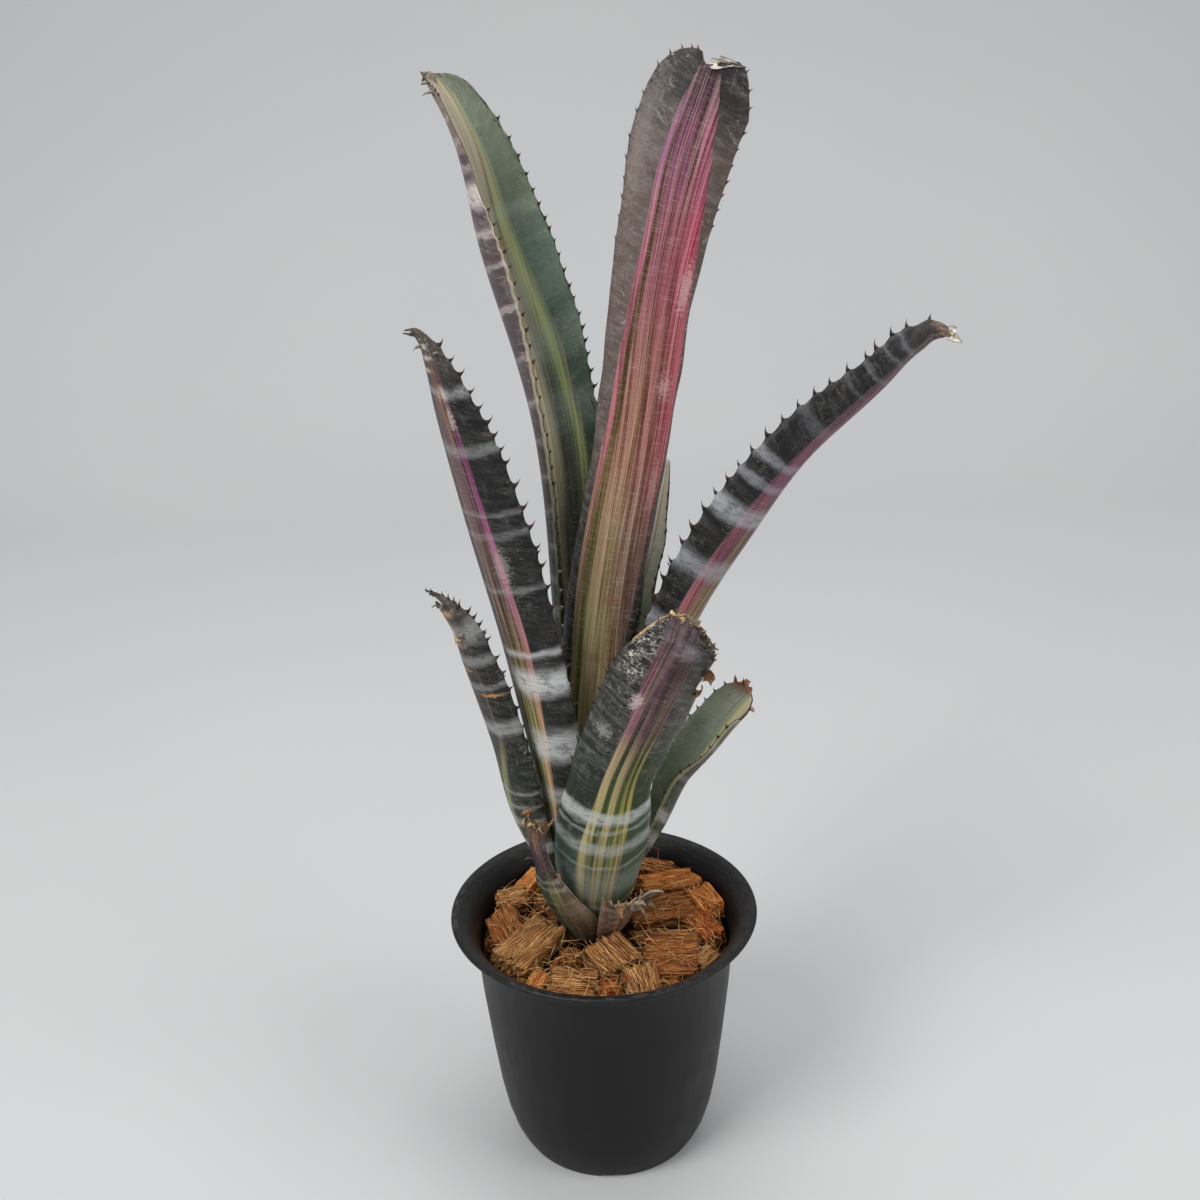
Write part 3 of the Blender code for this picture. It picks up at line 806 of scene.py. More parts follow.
    def build(self, finishes, thickness=1.1):
        shape, chart = self.mesh()
        piece = add_piece(self.name, shape, finishes)
        thin = piece.vertex_groups.new(name="thickness")
        for index, (u, v) in enumerate(chart):
            edge = min(1, (1 - abs(2 * u - 1)) * 6)
            thin.add([index], 0.4 + 0.6 * edge * min(1, (1.02 - v) * 12), "REPLACE")
        wall = piece.modifiers.new("wall", "SOLIDIFY")
        wall.thickness = thickness * MM
        wall.offset = 0
        wall.vertex_group = "thickness"
        wall.material_offset = 1
        wall.material_offset_rim = 2
        settle(piece)
        piece.vertex_groups.clear()
        self.add_spines(piece)
        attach(piece, "root")
        return piece


def blade_finish(
    name, leaf, edges, tones, left_edge, right_edge=None, bands=(), lines=0.3, scurf=0.15,
    dry=None, blots=(), flakes=None, roughness=0.42, felt="b4ada6", bow=-8.0, bare=(-1, -0.5),
):
    """One face of a leaf; the defaults suit a smooth inner face.

    edges: (along, left, right) of the coloured band, across the blade from 0 to 1.
    tones: (along, colours across the coloured band); they blend from one to the next.
    left_edge, right_edge: colours beside the band, from foot to tip; one serves both if alone.
    bands: (along, half height in mm, strength) of pale felt bands across the leaf.
    dry: (along where it starts, where it is full, two colours) of the withered tip.
    blots: (across, along, width, height in mm, colour, strength) of scars and stains.
    flakes: (across from, to, along from, to) where the felt peels in white flakes.
    bow: four times the rise, in mm, of the pale bands at the middle of the blade; below 0 they sag.
    bare: (along to where the blade is clean of scurf, where the scurf is full).
    lines, scurf: strength of the veins and of the scurf; felt: colour of the thickest scurf.
    """
    finish = Finish(name, roughness, 0.22)
    chart = finish.add("UVMap", uv_map="blade")
    flat = finish.stretched(chart, 1 / leaf.width, 1 / leaf.length)
    seed_step = (leaf.seed * 37.0, leaf.seed * 11.0, leaf.seed)
    flat = finish.add("VectorMath", flat, seed_step, operation="ADD")

    def weave(x, y, detail, rough, twist=0.0):
        """A pattern that lies flat on the blade, this many millimetres across and along."""
        return finish.cloud(finish.stretched(flat, x, y), detail, rough, 1, twist)

    # u runs across the blade and v from foot to tip; within runs across the coloured band.
    u = finish.add("SeparateXYZ", chart)
    v = finish.add("SeparateXYZ", chart, output=1)
    wander = weave(30, 60, 2, 0.5)
    u_wavy = finish.maths("MULTIPLY_ADD", finish.centred(wander), 0.035, u)
    left = finish.ramp(v, [(at, low) for at, low, high in edges], "CARDINAL")
    right = finish.ramp(v, [(at, high) for at, low, high in edges], "CARDINAL")
    within = finish.maths(
        "DIVIDE", finish.maths("SUBTRACT", u_wavy, left), finish.maths("SUBTRACT", right, left)
    )
    colour = finish.ramp(within, tones[0][1])
    for (low, before), (high, stops) in zip(tones, tones[1:]):
        colour = finish.mix(finish.step(v, low, high), colour, finish.ramp(within, stops))
    # Fine veins run the whole length: soft ones first, then hair lines, dark and pale.
    veins = weave(1.7, 170, 3, 0.6)
    colour = finish.mix(finish.step(veins, 0.49, 0.62, 0, lines), colour, "8a5f48", "MULTIPLY")
    colour = finish.mix(finish.step(veins, 0.47, 0.36, 0, lines * 0.3), colour, "e0b8a8")
    hair = weave(0.6, 80, 3, 0.6)
    colour = finish.mix(finish.step(hair, 0.52, 0.64, 0, lines), colour, "84604e", "MULTIPLY")
    colour = finish.mix(finish.step(hair, 0.46, 0.34, 0, lines * 0.35), colour, "e0c0b0")
    # The dark edges, mottled with thin felt.
    beside = finish.mix(
        finish.step(within, 0.3, 0.7), finish.ramp(v, left_edge), finish.ramp(v, right_edge or left_edge)
    )
    mottle = weave(5, 11, 5, 0.7)
    beside = finish.mix(finish.step(mottle, 0.44, 0.30, 0, 0.55), beside, "8a8280", "MULTIPLY")
    beside = finish.mix(finish.step(mottle, 0.52, 0.74, 0, 0.4 * scurf), beside, felt)
    inside = finish.times(finish.step(within, -0.012, 0.012), finish.step(within, 1.015, 0.985))
    colour = finish.mix(inside, beside, colour)
    # Scurf: a soft bloom that lies across the leaf, flecks in it, and curled pale threads.
    slant = finish.add("Mapping", flat, None, (0, 0, 0.2))
    bloom = finish.cloud(finish.stretched(slant, 17, 3.4), 5, 0.62, 1, 0.4)
    fleck = finish.cloud(finish.stretched(slant, 2.4, 0.5), 3, 0.6, 1, 0.6)
    drift = finish.times(finish.step(bloom, 0.42, 0.68), finish.step(fleck, 0.36, 0.64, 0.2, 1.0))
    curls = finish.cloud(finish.stretched(slant, 10, 2.6), 2, 0.5, 1, 1.3)
    level = finish.maths("ABSOLUTE", finish.centred(curls))
    where = weave(15, 11, 2, 0.5)
    threads = finish.times(finish.step(level, 0.020, 0.004), finish.step(where, 0.46, 0.62, 0.1, 1.0))
    worn = finish.maths("MAXIMUM", finish.times(drift, 0.42), threads)
    worn = finish.times(worn, finish.maths("MULTIPLY_ADD", inside, -0.7, 1.0))
    worn = finish.times(worn, finish.step(v, *bare))
    colour = finish.mix(finish.times(worn, 0.95 * scurf), colour, "d2cbc4")
    # Where the colour is, faint threads cross it.
    weft = weave(9, 0.5, 3, 0.7, 0.3)
    weft = finish.times(inside, finish.step(weft, 0.54, 0.70, 0, 0.28 * lines))
    colour = finish.mix(weft, colour, "e8c8c0")
    speck = finish.cloud(flat, 2, 0.5, 0.5)
    colour = finish.mix(finish.step(speck, 0.68, 0.76, 0, scurf * 0.8), colour, felt)
    felt_height = worn
    if bands:
        bow = finish.times(finish.maths("POWER", finish.centred(u), 2.0), bow)
        sway = weave(16, 9, 4, 0.65)
        shift = finish.maths("MULTIPLY_ADD", finish.centred(sway), 7.0, bow)
        level = finish.maths("ADD", v, finish.times(shift, 1 / leaf.length))
        banded = None
        for first in range(0, len(bands), BANDS_PER_RAMP):
            stops = []
            for middle, half, strength in sorted(bands)[first : first + BANDS_PER_RAMP]:
                soft, core = 1.5 * half / leaf.length, 0.55 * half / leaf.length
                stops += [(middle - soft, 0.0), (middle - core, strength)]
                stops += [(middle + core, strength), (middle + soft, 0.0)]
            group = finish.ramp(level, stops)
            banded = finish.maths("MAXIMUM", banded, group) if banded else group
        ruled = weave(9, 0.7, 4, 0.7, 0.5)
        gaps = weave(7, 4, 4, 0.7)
        ruled = finish.step(ruled, 0.34, 0.56, 0.6, 1.0)
        gaps = finish.step(gaps, 0.34, 0.52, 0.45, 1.0)
        cover = finish.times(banded, finish.times(ruled, gaps))
        colour = finish.mix(cover, colour, felt)
        felt_height = finish.maths("MAXIMUM", worn, cover)
    if flakes:
        u_low, u_high, v_low, v_high = flakes
        patch = finish.times(
            finish.times(finish.step(u, u_low, u_low + 0.1), finish.step(u, u_high, u_high - 0.12)),
            finish.times(finish.step(v, v_low, v_low + 0.06), finish.step(v, v_high, v_high - 0.03)),
        )
        scales = weave(2.2, 1.3, 5, 0.75, 0.8)
        clusters = weave(9, 8, 3, 0.6)
        peel = finish.times(finish.step(scales, 0.50, 0.56), finish.step(clusters, 0.42, 0.58))
        peel = finish.times(patch, peel)
        colour = finish.mix(peel, colour, "d2cdc2")
        felt_height = finish.maths("MAXIMUM", felt_height, peel)
    if dry:
        start, full, dull, pale = dry
        uneven = weave(7, 6, 4, 0.7)
        level = finish.maths("MULTIPLY_ADD", finish.centred(uneven), 0.10, v)
        crisp = weave(3, 1.6, 5, 0.7, 0.6)
        husk = finish.ramp(crisp, [(0.34, "2a2220"), (0.46, dull), (0.58, dull), (0.68, pale)])
        colour = finish.mix(finish.step(level, start, full), colour, husk)
    for across, along, wide, high, stain, strength in blots:
        middle = (across * leaf.width, along * leaf.length, 0)
        off = tuple(-place - step for place, step in zip(middle, seed_step))
        from_middle = finish.add("VectorMath", flat, off, operation="ADD")
        round_off = finish.stretched(from_middle, wide / 2, high / 2, 1000)
        away = finish.add("VectorMath", round_off, operation="LENGTH", output=1)
        fray = weave(2.0, 1.2, 5, 0.75)
        ragged = finish.maths("MULTIPLY_ADD", fray, 4.5, finish.maths("SUBTRACT", away, 2.25))
        colour = finish.mix(finish.step(ragged, 1.25, 0.3, 0, strength), colour, stain)
    finish.paint(colour)
    sheen = finish.step(mottle, 0.2, 0.8, roughness - 0.08, roughness + 0.1)
    finish.roughen(finish.maths("MULTIPLY_ADD", felt_height, 0.35, sheen))
    ribs = finish.relief(veins, 0.22, 0.5)
    threads = finish.relief(hair, 0.08, 0.5, after=ribs)
    finish.relief(felt_height, 0.18, 0.6, after=threads)
    return finish


def rim_finish(name, dark, light):
    finish = Finish(name, 0.6, 0.3)
    worn = finish.cloud(finish.place(), 4, 0.7, 2.5)
    finish.paint(finish.ramp(worn, [(0.35, dark), (0.65, light)]))
    finish.relief(worn, 0.2, 0.5)
    return finish


spine_dark = rim_finish("spine_dark", "17100e", "44281f")
spine_red = rim_finish("spine_red", "3a1410", "7d3a28")
spine_pale = rim_finish("spine_pale", "8f8c80", "d0cdc0")
rim_dark = rim_finish("rim_dark", "1d1815", "4a3a30")
rim_tan = rim_finish("rim_tan", "6f5638", "cdb088")
scrap_pale = rim_finish("scrap_pale", "a89a8c", "e0dacf")
scrap_tan = rim_finish("scrap_tan", "7c6448", "c4aa80")
scrap_husk = rim_finish("scrap_husk", "6c5e4e", "a89c84")
rim_red = rim_finish("rim_red", "2a1714", "6c4034")
scrap_brown = rim_finish("scrap_brown", "4c3024", "a07850")
scrap_grey = rim_finish("scrap_grey", "3c3532", "96897c")

tall_leaf = Leaf(
    "tall_leaf",
    [
        (-5, 3, 128, 6, 65, -90), (-5, -1, 148, 12, 70, -90), (-5, -4, 172, 17, 65, -90),
        (-4, -6, 203, 21, 60, -92), (3, -8, 286, 19.5, 55, -95), (18, -10, 371, 18.5, 52, -97),
        (30, -12, 447, 20.5, 50, -98), (42, -13, 496, 24, 50, -98), (48, -13, 512, 23.5, 48, -98),
        (52, -12.5, 523, 21.5, 46, -98), (54, -12, 529, 20, 45, -98),
    ],
    seed=1, scallop=0.5,
    ends=(
        (-1, 0.945), (-0.95, 0.963), (-0.81, 0.978), (-0.64, 0.988), (-0.39, 0.993), (-0.21, 0.993),
        (-0.14, 0.986), (-0.08, 0.982), (0.04, 0.983), (0.18, 0.988), (0.3, 0.988), (0.38, 0.991),
        (0.52, 0.993), (0.7, 0.988), (0.8, 0.978), (0.9, 0.965), (1, 0.945),
    ),
    spines=[
        (-1, 0.8, 0.965, 8, 2.2, 0.8, 3), (1, 0.83, 0.965, 7, 2.4, 0.8, 3),
        (1, 0.22, 0.4, 5.5, 2.2, -0.6, 3), (-1, 0.22, 0.42, 9, 2.4, 0.6, 3),
    ],
    crown=[
        (-0.93, 3.2, 4), (-0.78, 3.2, 3), (-0.6, 2.6, 4), (-0.42, 2.2, 4), (-0.3, 2.2, 4),
        (0.72, 2.4, 4), (0.86, 3.2, 4), (0.95, 3.0, 3),
    ],
    scraps=[
        (0.01, 0.984, 10, 3.8, (0.22, 1, -0.16), 4, 5), (0.14, 0.989, 11, 3.0, (0.04, 1, -0.16), 4, 5),
    ],
)
tall_back = blade_finish(
    "tall_leaf_back", tall_leaf,
    edges=[
        (0, 0.25, 0.7), (0.3, 0.22, 0.74), (0.4, 0.16, 0.85), (0.5, 0.14, 0.915), (0.6, 0.185, 0.96),
        (0.7, 0.25, 0.965), (0.8, 0.32, 0.9), (0.9, 0.355, 0.78), (0.95, 0.385, 0.69),
        (0.985, 0.43, 0.6), (1, 0.45, 0.55),
    ],
    tones=[
        (0.22, "0 b8aa80, .11 b0a474, .13 6a7430, .19 6c7634, .22 c4b88a, .45 c0b284, .58 b4a478, "
               ".75 9a845c, .9 8a7454, 1 6a5840"),
        (0.36, "0 948462, .11 8c8058, .13 525c24, .19 56602a, .22 9c9268, .4 9a9064, .5 82764a, "
               ".58 887c54, .72 705c3c, .88 5c4838, 1 443628"),
        (0.47, "0 8a6c56, .11 8a6e54, .13 4c5020, .2 525426, .23 8f7a58, .38 96805c, .43 6f6036, "
               ".52 73623a, .57 8a715a, .72 6e5644, .86 74564c, 1 6a4a44"),
        (0.62, "0 ae6474, .08 b46c72, .1 644e24, .17 665028, .2 a87a66, .33 9c6c5c, .42 a07460, "
               ".47 7c5630, .52 985f54, .6 a86c68, .68 884e46, .8 b4646a, .93 b65364, 1 9a4650"),
        (0.8, "0 985a72, .09 ac6276, .12 5a3c2c, .2 624030, .23 985a68, .36 905260, .44 7c4046, "
              ".52 964e5c, .62 86424a, .74 aa5264, .9 b84a62, 1 9a4054"),
        (0.92, "0 80507a, .1 8a5478, .14 52323e, .21 58363e, .25 84506c, .45 804e66, .56 7c4862, "
               ".64 5a343c, .7 623a42, .75 945070, .92 9c4a6c, 1 743c50"),
        (0.965, "0 4c3444, .3 563a4a, .5 44303c, .8 563648, 1 33282c"),
    ],
    # The dark strip on the left is partly the blade's own dark edge and partly painted shade where the
    # blade curves away.
    left_edge="0 1d201a, .4 232521, .5 33302c, .6 584c47, .78 60524c, .9 60544f, .955 302d2d, 1 232222",
    right_edge="0 1d201a, .42 2e2822, .6 514440, .9 5a4c46, .95 322d2c, 1 232222",
    bands=[(0.13, 6, 0.6), (0.22, 6, 0.6)],
    lines=0.75, scurf=0.46, dry=(0.99, 1.03, "2e2826", "7a4638"),
    blots=[
        (0.86, 0.765, 7, 22, "d0b0ac", 0.6), (0.8, 0.66, 8, 10, "c8a4a0", 0.5),
        (0.86, 0.55, 6, 26, "c4a4a0", 0.35), (0.58, 0.415, 12, 6, "7a4a3e", 0.5),
        (0.45, 0.345, 10, 5, "7a4a3e", 0.4), (0.12, 0.9, 12, 70, "8f847c", 0.4),
        (0.6, 0.985, 30, 12, "2c2327", 0.7),
    ],
)
tall_face = blade_finish(
    "tall_leaf_face", tall_leaf,
    edges=[(0, 0.3, 0.7), (0.5, 0.2, 0.85), (1, 0.3, 0.7)],
    tones=[
        (0.3, "0 5c6a40, .5 6e7a4a, 1 4c5a38"),
        (0.7, "0 7a7a4c, .15 9a8a5c, .2 4a5a2a, .6 8a6a56, 1 7c5450"),
    ],
    left_edge="0 26301f, .6 46523c, 1 3a3a34",
    lines=0.35,
)
tall_piece = tall_leaf.build([tall_back, tall_face, rim_red, spine_dark, spine_red, scrap_pale])
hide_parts("leaf_centre_tall")

# ------------ the left middle leaf
# A leaf grown from the left of the stem, its dark back to the front, with one magenta stripe
# beside a run of tan threads. Its tip has withered into a grey forked hook, and broad silver
# bands cross its lower half.

left_mid_leaf = Leaf(
    "left_mid_leaf",
    [
        (-10.5, 4.8, 123, 7, 58, -150), (-17, 1, 143, 16, 60, -150), (-22, -3, 168, 19.5, 55, -145),
        (-24.5, -10.2, 201, 21.5, 55, -140), (-36.2, -16.2, 276, 24.8, 55, -140),
        (-49.5, -20, 340, 25, 55, -140), (-60, -24, 390, 19.5, 50, -145),
        (-63.5, -25.5, 410, 11.5, 44, -145), (-66, -26, 419, 6.5, 42, -145),
        (-69, -26, 423.5, 3, 36, -145), (-73.5, -26, 424, 1.2, 30, -145),
    ],
    seed=2, scallop=1.2,
    ends=((-1, 0.985), (-0.4, 1.0), (0.0, 0.985), (0.5, 1.0), (1, 0.98)),
    spines=[
        (1, 0.35, 0.8, 10.2, 3.2, 1.1, 3), (1, 0.815, 0.965, 6.4, 3.2, 1.1, 3),
        (-1, 0.25, 0.93, 10.6, 3.0, 1.0, 3),
    ],
    scraps=[
        (0.7, 0.955, 3.5, 2.5, (1, 0.3, 0.4), 120, 4), (-0.3, 0.965, 3.5, 2.5, (0.8, 0.2, 0.6), 90, 4),
    ],
)
left_mid_back = blade_finish(
    "left_mid_back", left_mid_leaf,
    edges=[
        (0, 0.3, 0.62), (0.3, 0.3, 0.64), (0.5, 0.38, 0.71), (0.6, 0.36, 0.695), (0.7, 0.34, 0.665),
        (0.8, 0.34, 0.675), (0.88, 0.36, 0.69), (0.95, 0.4, 0.66), (1, 0.42, 0.6),
    ],
    tones=[
        (0.36, "0 5a6a38, .12 8a8a58, .22 4e5628, .34 8c8a5c, .42 4c5428, .52 968c58, .6 58602a, "
               ".72 8c8a56, .78 55542a, .82 b89a6c, .97 b49068, 1 4a4028"),
        (0.5, "0 4c463c, .15 78684e, .28 4a4230, .4 8a7a58, .5 4c442c, .62 867652, .74 4e3e30, "
              ".82 a07064, .96 a06a68, 1 4c3430"),
        (0.62, "0 443c3c, .2 5c4844, .36 7c6458, .42 4a3634, .55 78605a, .62 4a3634, .74 583c3a, "
               ".82 925074, .96 8c4a70, 1 4c2c38"),
        (0.8, "0 483a3c, .2 4c3a3e, .4 5c3e46, .5 48323a, .6 6e4a4a, .66 4a3038, .78 5a3646, .84 864072, "
              ".96 7e3c68, 1 3c2432"),
        (0.9, "0 443a3a, .3 504040, .5 7c5040, .62 927258, .72 5a3a38, .84 683e52, .94 583c44, 1 302828"),
    ],
    left_edge="0 22231a, .35 2c2d22, .5 312d2b, .62 372d2d, .9 342d2e, 1 443e3c",
    right_edge="0 171c14, .36 191b17, .5 171716, .9 171717, .95 201e1d, 1 3d3735",
    bands=[
        (0.2, 4, 0.45), (0.255, 4.5, 0.5), (0.345, 7.5, 0.7), (0.45, 6, 0.84), (0.498, 1.6, 0.6),
        (0.685, 1.4, 0.18), (0.815, 2.4, 0.25), (0.72, 1.0, 0.2), (0.9, 1.6, 0.35), (0.6, 1.4, 0.2),
    ],
    lines=0.6, scurf=0.19, felt="cfd0ce", dry=(0.9, 0.975, "544c48", "d0c6b4"),
    blots=[
        (0.6, 0.9, 8, 8, "c8b8a8", 0.75), (0.5, 0.965, 18, 2.4, "d8cfc4", 0.8),
        (0.48, 0.948, 20, 2.6, "d0c6ba", 0.8), (0.42, 0.93, 18, 2.6, "d8cfc4", 0.75),
        (0.62, 0.865, 6, 12, "c4b0a0", 0.7), (0.52, 0.925, 12, 14, "5a3a34", 0.7),
        (0.58, 0.88, 3, 20, "4c2e28", 0.8), (0.2, 0.655, 6, 34, "a89c94", 0.5),
        (0.66, 0.64, 8, 22, "c8bcb4", 0.35),
    ],
)
left_mid_face = blade_finish(
    "left_mid_face", left_mid_leaf,
    edges=[(0, 0.3, 0.7), (0.5, 0.3, 0.62), (1, 0.4, 0.6)],
    tones=[(0.3, "0 5a6a3c, .6 8a9458, 1 4c5c34"), (0.8, "0 56643c, .7 98985c, 1 4c5c38")],
    left_edge="0 26321f, .6 3c4c38, 1 5a5850",
    dry=(0.92, 0.98, "6a605c", "b8a890"),
)
left_mid_piece = left_mid_leaf.build([left_mid_back, left_mid_face, rim_dark, spine_dark, scrap_grey])
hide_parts("leaf_mid_left")

# ------------ the rear left leaf
# A leaf that stands behind as a deep channel, its inner side to the front: grey-green bloom with
# one lime stripe, the near margin rolled over so that its back shows as a narrow brown strip
# crossed by pale rings.

rear_left_leaf = Leaf(
    "rear_left_leaf",
    [
        (-7.8, 12.2, 128, 4.6, 50, 125), (-11, 18, 150, 10.5, 56, 126), (-14, 20, 172, 14.5, 60, 132),
        (-14, 23, 209, 19, 68, 140), (-15.5, 31.5, 279, 24, 72, 145), (-20.5, 39.5, 365, 28, 77, 145),
        (-41.5, 53, 446, 30.5, 104, 142), (-51, 54, 492, 18, 85, 138), (-58.5, 57, 508, 13, 76, 137),
        (-63, 58, 515.5, 7, 60, 135), (-66, 58, 518.5, 3, 44, 135),
    ],
    seed=3, scallop=1.3,
    ends=((-1, 0.94), (-0.93, 0.973), (-0.69, 0.982), (-0.3, 0.988), (0.12, 0.996), (1, 1.0)),
    spines=[
        (-1, 0.3, 0.935, 6.6, 2.6, 0.8, 3), (1, 0.45, 0.86, 7.2, 2.6, 0.8, 3),
        (1, 0.3, 0.45, 9.0, 2.6, 0.8, 4), (1, 0.965, 0.998, 2.2, 2.0, 0.6, 3),
    ],
    scraps=[
        (0.9, 0.97, 5, 3, (0.8, 0.6, 0.3), 100, 5), (0.6, 0.99, 5, 3, (1, 0.2, -0.3), -120, 5),
        (0.95, 0.985, 4, 2, (0.2, 1, 0.2), 60, 5), (0.3, 0.99, 4, 2.5, (1, -0.3, 0.3), 140, 6),
    ],
)
rear_left_face = blade_finish(
    "rear_left_face", rear_left_leaf,
    edges=[
        (0, 0.1, 0.42), (0.45, 0.06, 0.47), (0.55, 0.09, 0.49), (0.6, 0.13, 0.5), (0.7, 0.2, 0.5),
        (0.8, 0.27, 0.5), (0.9, 0.3, 0.52), (0.96, 0.33, 0.55), (1, 0.35, 0.6),
    ],
    tones=[
        (0.45, "0 2c3622, .15 485432, .3 374225, .5 222c1e, .8 292f21, .9 615f48, 1 6d6a51"),
        (0.6, "0 3e4c41, .1 586846, .16 86945c, .25 86925c, .33 4d5c46, .5 354135, .62 434a3c, "
              ".72 79795f, .8 9e997b, .88 b4ac8d, 1 a9a082"),
        (0.8, "0 788870, .1 8c9a74, .2 b0b886, .38 a4ac7c, .48 8a9278, .6 989680, .75 b0a890, .9 c4bc9c, "
              "1 ada088"),
        (0.92, "0 727e6a, .2 8a906c, .4 a09c7c, .7 a69e88, 1 a49c88"),
    ],
    left_edge="0 182015, .45 1b251b, .6 2f4034, .7 4a5c50, .78 65796e, .85 677763, 1 6c7260",
    right_edge="0 171e13, .42 1b2218, .52 6c6854, .62 a8a082, .8 b4aa90, .9 a89e88, 1 9c927e",
    bands=[(0.83, 3, 0.35), (0.74, 7, 0.18), (0.68, 8, 0.22), (0.6, 8, 0.18)],
    lines=0.45, scurf=0.32, roughness=0.5, felt="a4b0a6", dry=(0.975, 1.01, "2e2622", "6a5a48"),
    blots=[
        (0.42, 0.795, 6, 12, "94704c", 0.6), (0.45, 0.93, 10, 30, "a09884", 0.6),
        (0.8, 0.83, 5, 9, "94745a", 0.5), (0.72, 0.72, 4, 8, "86684c", 0.5),
        (0.9, 0.9, 5, 12, "8c7058", 0.5), (0.12, 0.86, 7, 10, "5c5a40", 0.35),
    ],
)
rear_left_back = blade_finish(
    "rear_left_back", rear_left_leaf,
    edges=[
        (0, 0.955, 1.1), (0.45, 0.955, 1.1), (0.6, 0.96, 1.1), (0.85, 0.98, 1.1), (0.9, 1.0, 1.2),
        (1, 1.0, 1.2),
    ],
    tones=[
        (0.4, "0 60604a, .5 7c7c5c, 1 989878"),
        (0.6, "0 8c8270, 1 b0a888"),
        (0.8, "0 94887c, 1 a89c84"),
    ],
    left_edge="0 1d1f1a, .4 242423, .5 3a3433, .6 4c4142, .9 54474a, 1 5c5450",
    right_edge="0 1d1f1a, .4 242423, .5 3c3635, .6 504445, .9 584a4c, 1 5c5450",
    bands=[
        (0.19, 6, 0.5), (0.3, 5, 0.55), (0.38, 2.5, 0.5), (0.42, 1.2, 0.4), (0.46, 1.2, 0.4),
        (0.5, 1.2, 0.4), (0.54, 1.0, 0.4), (0.58, 1.0, 0.35), (0.62, 1.2, 0.45), (0.67, 1.0, 0.4),
        (0.725, 1.4, 0.5), (0.775, 1.4, 0.45), (0.815, 2.0, 0.6), (0.858, 4.2, 0.95), (0.885, 1.0, 0.5),
        (0.91, 1.0, 0.45), (0.935, 1.0, 0.4),
    ],
    lines=0.4, scurf=0.42, felt="d0c6c0",
)
rear_left_piece = rear_left_leaf.build(
    [
        rear_left_back, rear_left_face, rim_dark, spine_dark, spine_pale, scrap_grey, scrap_pale,
    ],
)
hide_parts("leaf_rear_left")

# ------------ the leaf that arches right
# A black-backed leaf that grows from the stem, with a plum stripe under its lower edge, broad
# silver-grey bands and a saw of hooked spines along the top. Its narrow end nods and has dried.

arching_leaf = Leaf(
    "arching_leaf",
    [
        (0.5, 4.8, 123, 5, 44, -30), (8, 0, 146, 11, 42, -32), (13, -5, 172, 16, 40, -35),
        (26, 0, 231, 19.5, 50, -35), (43, 0, 281, 22, 55, -42), (66, -2, 322.5, 22.3, 60, -47),
        (93, -4, 362, 17, 60, -50), (125, -6, 393.5, 11.4, 55, -55), (139, -7.5, 408.5, 8.2, 48, -58),
        (147, -8, 413.3, 4.4, 42, -60), (152.5, -8, 411.8, 2.0, 34, -60),
        (155, -8, 408.5, 1.2, 30, -60),
    ],
    seed=4, scallop=1.4,
    ends=((-1, 0.985), (0, 1.0), (1, 0.98)),
    spines=[
        (-1, 0.3, 0.885, 8.6, 3.0, 1.1, 3), (-1, 0.892, 0.98, 6.6, 3.2, 1.1, 3),
        (1, 0.3, 0.93, 9.8, 2.4, 0.9, 3),
    ],
    scraps=[(0.2, 0.985, 7, 4, (1, 0.1, 0.1), 50, 4), (-0.3, 0.985, 5, 3.5, (0.9, 0.9, 0.1), -60, 4)],
)
arching_back = blade_finish(
    "arching_back", arching_leaf,
    edges=[
        (0, 0.3, 0.7), (0.45, 0.27, 0.8), (0.52, 0.275, 0.9), (0.6, 0.325, 1.0), (0.65, 0.355, 1.0),
        (0.72, 0.42, 1.0), (0.8, 0.49, 1.0), (0.88, 0.5, 1.0), (0.95, 0.6, 1.0), (1, 0.6, 1.0),
    ],
    tones=[
        (0.5, "0 864c5a, .06 a15a63, .2 a16369, .24 725a48, .3 a8865a, .36 675336, .42 a48660, "
              ".5 5e4a34, .6 8b7255, .8 695548, 1 55413a"),
        (0.6, "0 603648, .05 7c4058, .22 7a4058, .26 54403a, .34 846a54, .42 54403a, .55 785c50, "
              ".66 4c3834, .8 644c44, 1 5a403e"),
        (0.72, "0 523446, .08 6e3e58, .35 744458, .5 6c4450, .8 5c4246, 1 4c383a"),
        (0.86, "0 3e3438, .15 5a3c4a, .5 644450, 1 4c3a3c"),
        (0.95, "0 403c3c, .3 4c4444, 1 50443e"),
    ],
    left_edge="0 191d16, .4 161615, .6 181716, .88 1d1c1c, .93 292829, .97 383230, 1 54413c",
    right_edge="0 22241c, .6 4c3e3a, 1 5a4640",
    bands=[
        (0.3, 5, 0.6), (0.38, 3, 0.4), (0.468, 3.6, 0.55), (0.555, 4.6, 0.6), (0.64, 4.4, 0.72),
        (0.785, 2.4, 0.15), (0.688, 1.8, 0.45), (0.722, 2.0, 0.45), (0.85, 0.8, 0.2), (0.88, 1.0, 0.25),
        (0.91, 1.0, 0.25), (0.93, 1.0, 0.3),
    ],
    lines=0.55, scurf=0.2, felt="aeb0b4", dry=(0.965, 0.985, "7c6458", "d8c4b4"),
)
arching_face = blade_finish(
    "arching_face", arching_leaf,
    edges=[(0, 0.35, 0.65), (0.5, 0.35, 0.62), (1, 0.4, 0.6)],
    tones=[(0.3, "0 5a6a3c, .5 8c945c, 1 4c5c34"), (0.8, "0 5a6a44, .6 949864, 1 54643e")],
    left_edge="0 26321f, .6 3c4c38, 1 5a5850",
    dry=(0.96, 0.99, "7a5244", "c0a088"),
)
arching_piece = arching_leaf.build([arching_back, arching_face, rim_red, spine_dark, scrap_pale])
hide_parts("leaf_right_arching")

# ------------ the short leaf in front
# A broad old leaf on the front of the stem, cut off square, its end dried to a cream crust. Grey
# felt flakes away below the end, two magenta stripes turn cream towards the foot, and a wide
# silver band crosses them.

